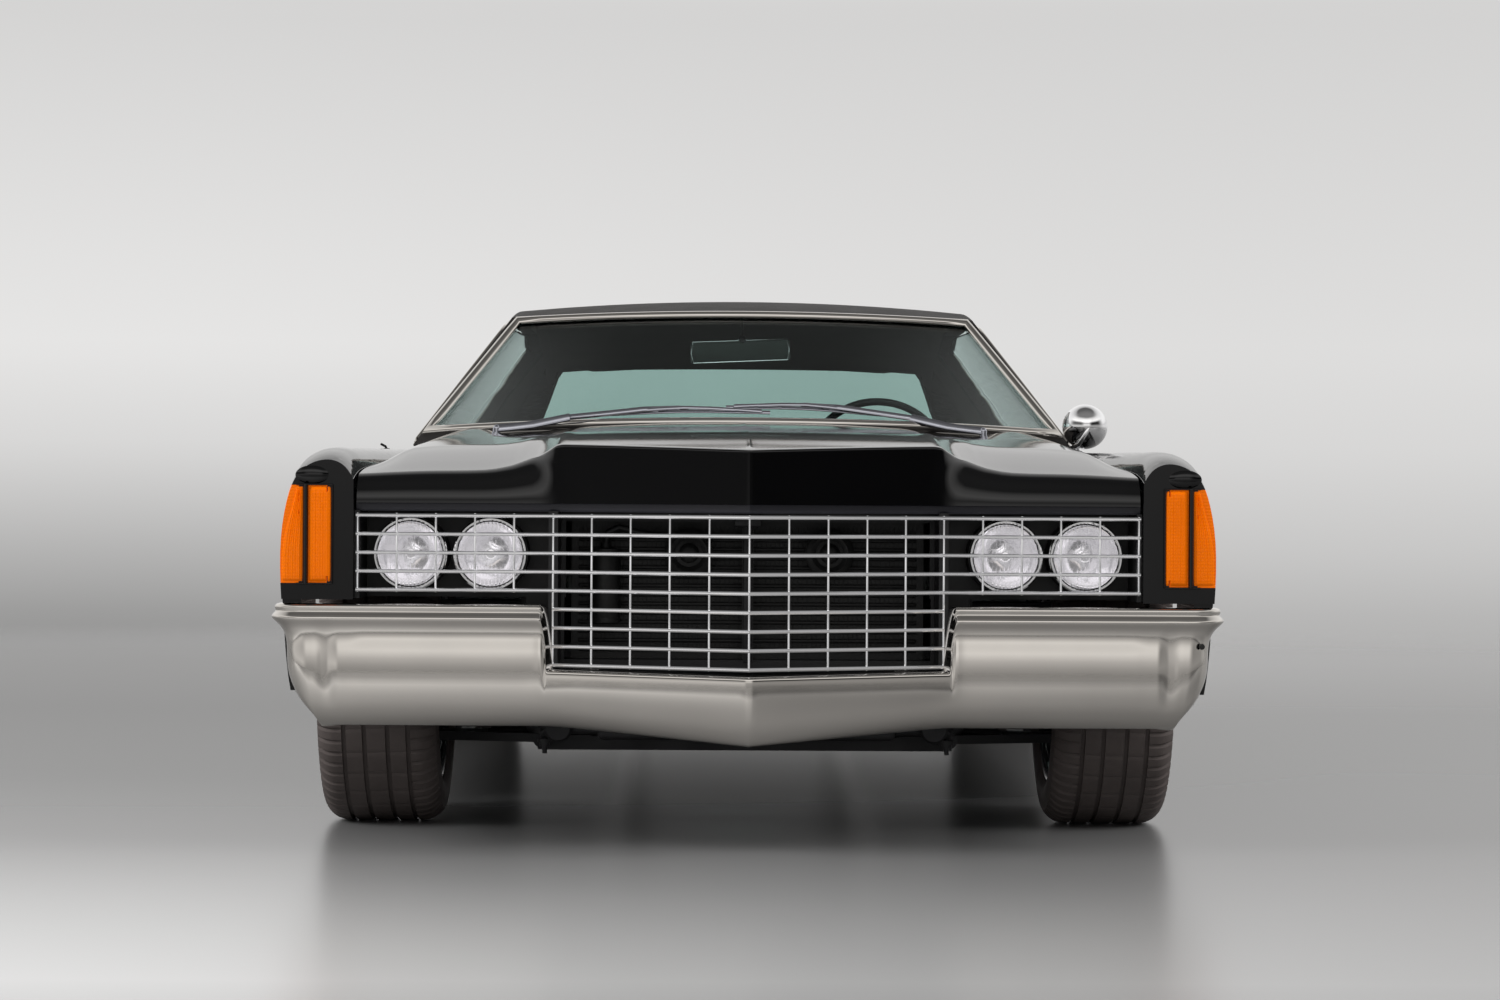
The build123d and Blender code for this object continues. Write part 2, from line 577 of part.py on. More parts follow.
def make_front_suspension():
    """Crossmember with lower and upper arms to both knuckles and both drive shafts."""
    y, z = FRONT_AXLE_Y, TYRE_R
    member = block(-470, 470, y - 70, y + 60, 168, 250)
    member += block(-480, -400, y - 60, y + 60, 168, RAIL_Z[0] - SEAT_GAP)
    member += block(400, 480, y - 60, y + 60, 168, RAIL_Z[0] - SEAT_GAP)
    part = member - tube(0, y, z, 56, 1200, "X")
    for height, root in ((z - BALL_RISE, 460), (z + BALL_RISE, RAIL_X[1] + SEAT_GAP + 16)):
        arm = prism([(root, y - 120), (560, y - 90), (KINGPIN_X, y - 26), (KINGPIN_X, y + 26),
                     (560, y + 90), (root, y + 120), (root, y + 70), (545, y + 40), (600, y),
                     (545, y - 40), (root, y - 70)], "XY", height - 10, height + 10)
        arm += tube(KINGPIN_X, y, height, 30, 22, "Z")
        arm += tube(root + 6, y, height, 22, 260, "Y")
        part += arm + mirror(arm, about=Plane.YZ)
    shaft = tube(500, y, z, 20, 330, "X") + tube(680, y, z, 38, 96, "X")
    shaft += block(330 + SEAT_GAP, 372, y - 40, y + 40, z + 12, z + 40) + tube(360, y, z, 42, 40, "X")
    return part, both(shaft)


def make_steering_link():
    """Cross link with a ball end over each steering arm."""
    y, z = FRONT_AXLE_Y + ARM_Y, LINK_Z
    bar = tube(0, y, z, 14, 2 * KINGPIN_X, "X")
    ends = tube(KINGPIN_X, y, z, 20, 30, "Z") + tube(-KINGPIN_X, y, z, 20, 30, "Z")
    return bar + ends


def make_rear_axle():
    """Dead beam axle with stubs, trailing arms and spring seats."""
    y, z = REAR_AXLE_Y, TYRE_R
    part = tube(0, y, z - 100, 30, 1312, "X")
    side = block(644, 672, y - 55, y + 55, z - 130, z + 60)
    side += tube(WHEEL_X - 80, y, z, HUB_R, 220, "X") & block(650, WHEEL_X - 4, 0, 3000, 0, 900)
    side += tube(WHEEL_X + 28, y, z, STUB_R, 66, "X")
    side += block(568, 612, y - 560, y + 20, z - 110, z - 78)
    side += tube(590, y - 560, z - 90, 22, 60, "X")
    return part + side + mirror(side, about=Plane.YZ)


# ---- underbody ---------------------------------------------------------------------------------
def make_frame():
    """Perimeter frame with cross members."""
    link_y = FRONT_AXLE_Y + ARM_Y
    low, high = RAIL_Z
    inner, outer = RAIL_X
    side = block(inner, outer, RAIL_FRONT_Y, -1180, low, high) + block(inner, outer, -1260, -1180, 180, high)
    side += block(inner, 780, -1260, -1180, 180, PAN_Z) + block(700, 790, -1260, KICK_Y + 80, 146, PAN_Z)
    side += block(440, 790, KICK_Y, KICK_Y + 80, 146, PAN_Z) + block(440, 540, KICK_Y, KICK_Y + 80, 146, 343)
    side += block(440, 540, KICK_Y, 1425, 285, 343) + block(440, 540, 1345, 1425, 285, 520)
    side += block(440, 540, 1345, 2560, 440, 520) + block(570, 610, KICK_Y + 5, KICK_Y + 45, PAN_Z, 238)
    side += block(inner + 20, outer - 20, link_y - 26, link_y + 26, LINK_Z - 24, low)
    side -= tube(500, link_y, LINK_Z, 14 + SEAT_GAP, 400, "X")
    part = side + mirror(side, about=Plane.YZ)
    for y, half, base, top in ((-1260, 480, CROSS_Z, PAN_Z), (0, 760, CROSS_Z, PAN_Z), (KICK_Y, 480, CROSS_Z, PAN_Z),
                               (2480, 480, 440, 520), (1700, 480, 440, 520)):
        part += block(-half, half, y, y + 80, base, top)
    return part


def make_floor():
    """Floor pan with rockers, trunk floor and rear wheelhouses."""
    rocker = side_block(-1405, 820, 0) & block(880, 1100, -1405, 820, 0, ROCKER_TOP_Z - PANEL_GAP)
    rocker -= arch(FRONT_AXLE_Y, ARCH_R) + arch(REAR_AXLE_Y, ARCH_R)
    pan = block(-890, 890, FIREWALL_Y, KICK_Y - 5, 216, 236) + both(block(800, 890, 600, 815, 216, 236))
    step = block(-640, 640, KICK_Y - 25, 1340, STEP_Z, STEP_Z + 20)
    step += block(-640, 640, KICK_Y - 25, KICK_Y - 5, 216, STEP_Z + 10)
    step += block(-640, 640, 1320, 1340, STEP_Z, 545)
    trunk = block(-640, 640, 1320, 2660, 525, 545)
    house = tube(0, REAR_AXLE_Y, TYRE_R, ARCH_R + 12, 2000, "X") - tube(0, REAR_AXLE_Y, TYRE_R, ARCH_R, 2100, "X")
    house &= block(640, 945, 700, 1700, 236, 900)
    cap = tube(650, REAR_AXLE_Y, TYRE_R, ARCH_R + 12, 20, "X") & block(600, 700, 700, 1700, 236, 900)
    cap -= block(600, 700, REAR_AXLE_Y - 250, REAR_AXLE_Y + 250, 200, 620)
    inside = side_block(700, 1750, SIDE_WALL + 20 + SEAT_GAP)
    house = (house & block(640, 762, 700, 1700, 0, 900)) + (house & inside) + cap
    return rocker + mirror(rocker, about=Plane.YZ) + pan + step + trunk + house + mirror(house, about=Plane.YZ)


def make_inner_fenders():
    """Walls between the engine bay and the front wheels, with a shelf out to the fenders."""
    spots = stations(FACE_Y + 240, POST_FRONT_Y - 6, 200.0)
    top = [(y, follow(GAP_Z, y) - SIDE_WALL - 1) for y in spots]
    shelf = prism(top + [(y, z - 6) for y, z in reversed(top)], "YZ", 486, 852)
    wall = prism(top + [(top[-1][0], RAIL_Z[1] + SEAT_GAP), (top[0][0], RAIL_Z[1] + SEAT_GAP)], "YZ", 486, 492)
    wall -= block(480, 500, FRONT_AXLE_Y - 136, FRONT_AXLE_Y + 136, 500, 532)
    shelf -= block(786, 818, -975, -820, 700, 900)
    return both(shelf + wall)


def make_engine():
    """Engine and transaxle as one plain block."""
    mount = RAIL_X[0] - SEAT_GAP
    return block(-330, 330, -2180, -1420, 362, 780) + block(-mount, mount, -1560, -1500, 430, 480)


def make_exhaust():
    """Two pipes with mufflers and tail pipes."""
    low = CROSS_Z - PIPE_R - SEAT_GAP
    part = tube(330, 80, low, PIPE_R, 2560, "Y") + tube(330, 2095, 270, PIPE_R, 1290, "Y")
    part += rod((330, 1356, low - 2), (330, 1455, 272), PIPE_R)
    return both(part + tube(330, 1900, 270, 66, 480, "Y"))


def make_tank():
    """Fuel tank under the trunk floor."""
    return block(-240, 240, 1460, 2200, 330, 440 - SEAT_GAP)


# ---- nose --------------------------------------------------------------------------------------
def nose_line(depth, y_side):
    """Plan points along the V-shaped nose at a distance behind the grille face."""
    half = GRILLE_CELL * 10 + 4
    return [(-half, y_side + depth), (-V_HALF, y_side + depth), (0, y_side + depth - V_DEPTH),
            (V_HALF, y_side + depth), (half, y_side + depth)]


def make_grille():
    """Wire grille: bent level bars in front of thin uprights."""
    y = FACE_Y + 12
    bars = []
    for i in range(9):
        z = GRILLE_TOP_Z - i * GRILLE_PITCH
        line = nose_line(0, y)
        if i > 4:
            line = line[1:4]
        back = [(px, py + 9) for px, py in reversed(line)]
        bars.append(prism(line + back, "XY", z - 3, z + 3))
    for k in range(-10, 11):
        x = k * GRILLE_CELL
        rows = 8 if abs(k) <= 5 else 4
        front = y - max(0, V_DEPTH * (1 - abs(x) / V_HALF))
        bars.append(block(x - 2, x + 2, front + 5, front + 13, GRILLE_TOP_Z - rows * GRILLE_PITCH - 6, GRILLE_TOP_Z + 6))
    part = bars[0]
    return part.fuse(*bars[1:])


def make_nose_panel():
    """Black panel behind the grille that carries the lamps and the radiator."""
    y = FACE_Y + 190
    panel = block(-836, 836, y, y + 14, BUMPER_TOP_Z + 10, 724)
    panel += block(-836, 836, y, y + 110, 380, 400)
    panel += both(block(405, 425, FACE_Y + 25 + SEAT_GAP, y + 10, 392, 722))
    panel += both(block(826, 836, FACE_Y + 25 + SEAT_GAP, y + 10, BUMPER_TOP_Z + 10, 722))
    panel += both(block(398, 482, y, y + 14, 390, 560))
    lug = both(block(440, 480, FACE_Y - 60, y + 2, 424, 480))
    panel += lug & bumper_form(14 + SEAT_GAP)
    panel -= block(-395, 395, y - 10, y + 30, 400, 700)
    for x in LAMP_X:
        for side in (-1, 1):
            panel -= tube(side * x, y + 7, LAMP_Z, LAMP_R + 8, 40, "Y")
    panel += block(-12, 12, y, y + 14, 390, 710)
    return panel


def make_lamps():
    """Sealed-beam lenses, and the buckets that hold them."""
    lenses = []
    buckets = []
    y = FACE_Y + 96
    for x in LAMP_X:
        for side in (-1, 1):
            dome = Pos(side * x, y + 250, LAMP_Z) * Sphere(262) & tube(side * x, y, LAMP_Z, LAMP_R, 60, "Y")
            lenses.append(dome & block(-900, 900, y - 30, y + 12, 0, 1000))
            bucket = tube(side * x, y + 70, LAMP_Z, LAMP_R + 7.5, 124, "Y")
            bucket -= tube(side * x, y + 58, LAMP_Z, LAMP_R + SEAT_GAP, 110, "Y")
            buckets.append(bucket)
    return Compound(children=lenses), Compound(children=buckets)


def make_radiator():
    """Radiator with cooling fins, two horns and the drier."""
    y = FACE_Y + 250
    core = block(-385, 385, y, y + 50, 400 + SEAT_GAP, 700)
    for i in range(14):
        core -= block(-370, 370, y - 2, y + 10, 415 + i * 20, 425 + i * 20)
    horns = []
    for x in (-128, 178):
        horn = tube(x, y - 14, 632, 52, 52, "Y") - tube(x, y - 38, 632, 42, 20, "Y")
        horns.append(horn + tube(x, y - 32, 632, 20, 16, "Y"))
    drier = tube(-310, y - 36, 560, 32, 160, "Z") + block(-320, -300, y - 20, y, 500, 620)
    part = core + drier
    return part + horns[0] + horns[1]


# ---- bumpers -----------------------------------------------------------------------------------
BUMPER_FORM = ((240, -26), (275, -14), (330, -6), (400, -5), (460, -3), (497, 4), (505, 3), (526, -10))


def bumper_outline(grow, wrap_y, wall):
    """Plan outline of the front bumper, grown by grow and hollowed by wall."""
    g = grow - wall
    tip = NOSE_Y + 4 - g
    wing = FACE_Y - 34 - g
    side = 1013 + g
    r = 66
    pts = [(0, tip), (V_HALF + 14, wing), (side - r, wing + 12), (side, wing + 12 + r)]
    return pts, wrap_y, r


def bumper_wire(z, grow, wrap_y, wall):
    """Closed plan wire of the bumper's outer volume at a height."""
    pts, back, r = bumper_outline(grow, wrap_y, wall)
    edges = []
    (x0, y0), (x1, y1), (x2, y2), (x3, y3) = pts
    s = math.sqrt(0.5)
    mid = (x3 - r + r * s, y3 - r * s)
    left = [Edge.make_line((x0, y0, z), (x1, y1, z)), Edge.make_line((x1, y1, z), (x2, y2, z)),
            Edge.make_three_point_arc((x2, y2, z), (*mid, z), (x3, y3, z)),
            Edge.make_line((x3, y3, z), (x3 - 6, back, z))]
    rear = Edge.make_line((x3 - 6, back, z), (-x3 + 6, back, z))
    right = [Edge.make_line((-x3 + 6, back, z), (-x3, y3, z)),
             Edge.make_three_point_arc((-x3, y3, z), (-mid[0], mid[1], z), (-x2, y2, z)),
             Edge.make_line((-x2, y2, z), (-x1, y1, z)), Edge.make_line((-x1, y1, z), (x0, y0, z))]
    return Wire(left + [rear] + right)


def bumper_form(wall):
    """Solid that fills the front bumper up to its inner face."""
    rows = ((230, -26),) + BUMPER_FORM[1:-1] + ((520, 2),)
    return Solid.make_loft([bumper_wire(z, g, -2250, wall) for z, g in rows])


def make_front_bumper():
    """Deep front bumper with a V in the middle, a crest line and stepped wings."""
    outer = Solid.make_loft([bumper_wire(z, g, -2262, 0) for z, g in BUMPER_FORM])
    inner = bumper_form(14)
    well = Solid.make_loft([bumper_wire(z, 0, -2250, BUMPER_LEDGE) for z in (200, 700)])
    fenders = both(side_block(FACE_Y - 10, -2200, -2 * SEAT_GAP) & block(700, 1100, -2700, -2200, 0, 900))
    shell = outer - inner - well - fenders
    face = [(-1100, 600), (-1100, 400), (-975, 366), (-950, 306), (-905, 264), (-430, 264), (0, 231),
            (430, 264), (905, 264), (950, 306), (975, 366), (1100, 400), (1100, 600), (425, 600),
            (425, 383), (0, 375), (-425, 383), (-425, 600)]
    front_view = prism(face, "XZ", -2900, FACE_Y + 80) + block(-1100, 1100, FACE_Y + 80, -2200, 330, 600)
    return shell & front_view


def make_rear_bumper():
    """Full-width rear bumper with wrapped ends."""
    def wire(z, g, wall):
        side, back, r = 1000 + g - wall, TAIL_Y - 2 + g - wall, 90
        s = math.sqrt(0.5)
        return Wire([
            Edge.make_line((-side + r, back, z), (side - r, back, z)),
            Edge.make_three_point_arc((side - r, back, z), (side - r + r * s, back - r + r * s, z), (side, back - r, z)),
            Edge.make_line((side, back - r, z), (side, 2330, z)), Edge.make_line((side, 2330, z), (-side, 2330, z)),
            Edge.make_line((-side, 2330, z), (-side, back - r, z)),
            Edge.make_three_point_arc((-side, back - r, z), (-side + r - r * s, back - r + r * s, z), (-side + r, back, z))])
    form = ((300, -30), (340, -10), (400, -2), (446, 2), (452, 2), (476, -14))
    shell = Solid.make_loft([wire(z, g, 0) for z, g in form])
    shell -= Solid.make_loft([wire(z, g, 16) for z, g in ((290, -30),) + form[1:-1] + ((470, 0),)])
    well = block(-900, 900, 2300, TAIL_Y - BUMPER_LEDGE, 200, 700)
    cut = side_block(2300, 2700, -2 * SEAT_GAP) & block(600, 1100, 2300, 2760, 0, 900)
    return shell - well - both(cut)


def make_tail_panel():
    """Panel under the trunk lid between the quarter panels."""
    panel = block(-DECK_HALF + 2, DECK_HALF - 2, 2676, 2694, 480, 862)
    panel &= crest_block(deck_row, 2600, 2760, 0, widen=70, floor=400)
    for x in (-PLATE_PITCH / 2, PLATE_PITCH / 2):
        panel -= tube(x, 2685, PLATE_Z, PLATE_HOLE_R, 40, "Y")
    return panel


# ---- cabin -------------------------------------------------------------------------------------
def make_dashboard():
    """Dashboard with the steering column."""
    front = FIREWALL_Y + 30 + SEAT_GAP
    dash = prism([(front, 560), (-500, 560), (-430, 620), (-420, 800), (-470, 852), (front, 842)],
                 "YZ", -740, 740)
    reach = HUB_BACK + SEAT_GAP
    end = (WHEEL_AT[0], WHEEL_AT[1] - reach * COLUMN_WAY[0], WHEEL_AT[2] - reach * COLUMN_WAY[1])
    root = (WHEEL_AT[0], WHEEL_AT[1] - 330 * COLUMN_WAY[0], WHEEL_AT[2] - 330 * COLUMN_WAY[1])
    return dash + rod(root, end, 30)


WHEEL_AT = (375.0, -246.0, 833.0)
WHEEL_TILT = 18.55
COLUMN_WAY = (math.cos(math.radians(WHEEL_TILT)), math.sin(math.radians(WHEEL_TILT)))   # (y, z)
HUB_BACK = 17.0


def make_steering_wheel():
    """Thin-rimmed steering wheel square to its column."""
    rim = Torus(195, 13)
    hub = Pos(0, 0, 13 - HUB_BACK) * Cylinder(44, 26)
    spoke = Box(370, 34, 12)
    place = Pos(*WHEEL_AT) * Rot(-90 + WHEEL_TILT, 0, 0)
    return place * (rim + hub + spoke)


def seat(x0, x1, y, back, base, top):
    """One seat: cushion and leaning back."""
    cushion = block(x0, x1, y, y + 520, base, base + 180)
    rest = prism([(y + 500, base), (y + 620, base), (y + 620 + back, top), (y + 530 + back, top)], "YZ", x0, x1)
    return cushion + rest


def make_front_seats():
    """Two front seats on rails."""
    part = seat(70, 640, -330, 90, 264, 862)
    part += block(120, 590, -300, 180, 236, 264)
    return both(part)


def make_rear_seat():
    """Rear bench."""
    bench = seat(-600, 600, KICK_Y - 5, 24, STEP_Z + 20 + SEAT_GAP, 839)
    return bench - both(block(530, 620, 1140, 1300, 690, 860))


MIRROR_X = 910.0
MIRROR_Y = -680.0


def make_door_mirror():
    """Round chrome mirror on a stalk on the left door."""
    dome = Edge.make_spline([(0, -70, 0), (34, -58, 0), (54, -28, 0), (60, 0, 0)],
                            tangents=[(1, 0, 0), (0, 1, 0)])
    rim = Wire([dome, Edge.make_line((60, 0, 0), (60, 12, 0)), Edge.make_line((60, 12, 0), (0, 12, 0)),
                Edge.make_line((0, 12, 0), (0, -70, 0))])
    head = Pos(MIRROR_X, MIRROR_Y, 948) * revolve(Face(rim), Axis.Y, 360)
    base = Pos(MIRROR_X - 26, MIRROR_Y + 10, 880) * Cylinder(26, 14)
    stalk = rod((MIRROR_X - 26, MIRROR_Y + 10, 880), (MIRROR_X - 4, MIRROR_Y - 4, 930), 8)
    return (base + stalk + head) - side_block(MIRROR_Y - 90, MIRROR_Y + 120, -SEAT_GAP)


WIPER_Y = -804.0
WIPER_PROUD = 8.0            # blade's middle ahead of the glass
PANE_LEAN = 1.5
# spindle x and z, arm's end x and z, then the blade's points
WIPER_LINES = (
    (-646, 909, -165, 984, ((-381, 966), (-155, 976), (71, 974))),
    (630, 909, 160, 994, ((-45, 988), (160, 986), (373, 970))),
)


def make_inner_mirror():
    """Interior mirror hanging from the header."""
    glass = block(-126, 126, -262, -240, 1118, 1180)
    stem = rod((0, -250, 1170), (0, -232, 1262), 8)
    return (glass + stem) & crown(ROOF_WALL + SEAT_GAP)


def pane_point(x, z, proud):
    """Point ahead of the windshield's outer face by proud."""
    v = plan_values(z)
    half = v["front_x"] - GLASS_INSET
    side = v["front_side"] + GLASS_INSET * 1.3
    mid = v["front_mid"] + GLASS_INSET * 1.6
    radius = (half**2 + (side - mid)**2) / (2 * (side - mid))
    return (x, mid + radius - math.sqrt(radius**2 - x**2) - proud, z)


def bar(points, tall, deep):
    """Flat bar through points, each section square to X and leaning with the windshield."""
    wires = []
    for x, y, z in points:
        low, high = z - tall / 2, z + tall / 2
        near, far = y - deep / 2, y + deep / 2
        shift = tall / 2 * PANE_LEAN
        corners = [(x, near - shift, low), (x, far - shift, low), (x, far + shift, high),
                   (x, near + shift, high)]
        wires.append(Wire.make_polygon(corners, close=True))
    return Solid.make_loft(wires, ruled=True)


def make_wipers():
    """Two wipers parked on the windshield: spindle, arm and blade each."""
    parts = []
    for x0, z0, x1, z1, blade in WIPER_LINES:
        low = follow(hood_row(WIPER_Y), abs(x0)) - SKIN + 1.0
        part = tube(x0, WIPER_Y, (low + z0 + 8) / 2, 9, z0 + 8 - low, "Z")
        half_way = pane_point((x0 + x1) / 2, (z0 + z1) / 2, WIPER_PROUD + 18)
        part += bar([(x0, WIPER_Y, z0), half_way, pane_point(x1, z1, WIPER_PROUD + 6)], 9, 7)
        width = blade[-1][0] - blade[0][0]
        spots = [blade[0][0] + width * i / 6 for i in range(7)]
        part += bar([pane_point(x, follow(blade, x), WIPER_PROUD) for x in spots], 12, 10)
        parts.append(part)
    return Compound(children=parts)


def make_tail_lamps():
    """Upright lamps in the rear fender tips."""
    side = 955 + SEAT_GAP
    return both(block(side, 972, 2640 + SEAT_GAP, 2720, 478, 812) + block(900, 972, 2701, 2716, 478, 812))


def build():
    """Write every node."""
    fender = make_fender()
    door = make_door()
    quarter = make_quarter()
    front, back, door_glass, quarter_glass = make_panes()
    susp, shafts = make_front_suspension()
    lenses, buckets = make_lamps()
    lamp = lamp_pocket(SEAT_GAP)
    knuckle = make_knuckle()
    sided = {"fender": fender, "door": door, "quarter_panel": quarter, "door_glass": door_glass,
             "knuckle": knuckle}
    for name, shape in sided.items():
        save(shape, name + "_left")
        save(mirror(shape, about=Plane.YZ), name + "_right")
    arms = make_hinge_brackets() + [make_hood_brackets()]
    save(both(Compound(children=arms)), "hinge_brackets")
    single = {
        "hood": make_hood(), "firewall": make_firewall(), "roof_panel": make_roof(),
        "windshield": front, "backlight": back, "quarter_glass": both(quarter_glass),
        "trunk_lid": make_lid(), "rear_deck": make_deck(), "tail_panel": make_tail_panel(),
        "chassis_frame": make_frame(), "floor_pan": make_floor(), "engine_block": make_engine(),
        "inner_fenders": make_inner_fenders(),
        "front_suspension": susp, "drive_shafts": shafts, "steering_link": make_steering_link(),
        "rear_axle": make_rear_axle(), "exhaust": make_exhaust(), "fuel_tank": make_tank(),
        "grille": make_grille(), "nose_panel": make_nose_panel(), "headlamp_lenses": lenses,
        "headlamp_buckets": buckets, "corner_lamps": both(lamp), "tail_lamps": make_tail_lamps(),
        "radiator": make_radiator(), "front_bumper": make_front_bumper(),
        "rear_bumper": make_rear_bumper(), "dashboard": make_dashboard(),
        "steering_wheel": make_steering_wheel(), "front_seats": make_front_seats(),
        "rear_seat": make_rear_seat(), "door_mirror": make_door_mirror(),
        "interior_mirror": make_inner_mirror(), "wipers": make_wipers(),
    }
    for name, shape in single.items():
        save(shape, name)
    for name, x, y in (("front_left", WHEEL_X, FRONT_AXLE_Y), ("front_right", -WHEEL_X, FRONT_AXLE_Y),
                       ("rear_left", WHEEL_X, REAR_AXLE_Y), ("rear_right", -WHEEL_X, REAR_AXLE_Y)):
        save(make_tyre(x, y), "tyre_" + name)
        save(make_wheel(x, y), "wheel_" + name)


build()
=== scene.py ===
"""Looks of a two-door luxury coupe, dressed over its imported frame.

Lengths are metres. The nose points to -Y and the car's own left to +X.
"""

import logging
import math
from dataclasses import dataclass
from enum import Enum
from typing import Callable, Optional, Sequence

import bpy
from mathutils import Matrix, Vector
from mathutils.bvhtree import BVHTree


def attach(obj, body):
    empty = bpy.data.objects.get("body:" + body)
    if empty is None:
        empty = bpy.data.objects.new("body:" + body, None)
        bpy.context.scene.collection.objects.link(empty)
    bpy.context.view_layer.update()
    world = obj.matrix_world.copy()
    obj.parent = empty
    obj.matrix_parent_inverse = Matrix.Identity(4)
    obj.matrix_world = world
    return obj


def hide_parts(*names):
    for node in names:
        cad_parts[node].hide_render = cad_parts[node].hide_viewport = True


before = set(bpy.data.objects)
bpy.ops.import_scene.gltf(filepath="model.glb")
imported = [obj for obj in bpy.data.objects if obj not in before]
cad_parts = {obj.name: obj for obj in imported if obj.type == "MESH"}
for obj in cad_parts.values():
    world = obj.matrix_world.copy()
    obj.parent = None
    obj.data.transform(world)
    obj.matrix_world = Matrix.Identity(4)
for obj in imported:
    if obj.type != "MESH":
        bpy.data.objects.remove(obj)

LOG = logging.getLogger("coupe")
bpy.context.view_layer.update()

Point = tuple[float, float, float]
Spot = tuple[float, float]
Piece = bpy.types.Object

# places and directions that several pieces share
FRONT_AXLE_Y = -1.821
REAR_AXLE_Y = 1.227
WHEEL_X = 0.830
TYRE_R = 0.350
SIDES = ((1.0, "left"), (-1.0, "right"))
AHEAD: Point = (0.0, -1.0, 0.0)
BACK: Point = (0.0, 1.0, 0.0)
UP: Point = (0.0, 0.0, 1.0)
DOWN: Point = (0.0, 0.0, -1.0)

MERGE_GAP = 0.00002  # corners closer than this become one
COAT_ROUGHNESS = 0.03
PATCH_DETAIL = 3.0  # octaves of the colour patches
SMUDGE_DETAIL = 5.0  # octaves of the smudges
SMUDGE_RATIO = 2.7  # smudges to a colour patch


# ---- finishes ----------------------------------------------------------------------------------
def feed(tree: bpy.types.NodeTree, node: bpy.types.Node, inputs: dict[object, object]) -> None:
    """Sets inputs of a shader node.

    Args:
        tree: Node tree that holds it.
        node: The node.
        inputs: Value, or socket to link, for each input.
    """
    for key, value in inputs.items():
        if isinstance(value, bpy.types.NodeSocket):
            tree.links.new(value, node.inputs[key])
        else:
            node.inputs[key].default_value = value


def add_node(tree: bpy.types.NodeTree, kind: str, inputs: dict[object, object],
             **settings: object) -> bpy.types.Node:
    """Adds a shader node.

    Args:
        tree: Node tree that gets it.
        kind: Its type, without the ShaderNode in front.
        inputs: Value, or socket to link, for each input.
        **settings: Its properties, set before the inputs.

    Returns:
        The new node.
    """
    node = tree.nodes.new("ShaderNode" + kind)
    for key, value in settings.items():
        setattr(node, key, value)
    feed(tree, node, inputs)
    return node


class Grain(Enum):
    """What breaks up a surface at close range."""

    FINE = "fine"
    LEATHER = "leather"
    WEAVE = "weave"
    BRUSHED = "brushed"
    CARPET = "carpet"
    FLUTES = "flutes"
    RIBS = "ribs"
    CAST = "cast"


# first axis, second axis, the second's share of the scale, how the two waves join
WAVE_GRAINS: dict[Grain, tuple[str, str, float, str]] = {
    Grain.FLUTES: ("X", "Z", 0.25, "MAXIMUM"),
    Grain.RIBS: ("Z", "Z", 1.0, "ADD"),
    Grain.WEAVE: ("X", "Y", 1.0, "MAXIMUM"),
}
# octaves and stretch
NOISE_GRAINS: dict[Grain, tuple[float, Point]] = {
    Grain.FINE: (4.0, (1.0, 1.0, 1.0)),
    Grain.BRUSHED: (2.0, (0.06, 1.0, 1.0)),
    Grain.CARPET: (8.0, (1.0, 1.0, 1.0)),
    Grain.CAST: (9.0, (1.0, 1.0, 1.0)),
}


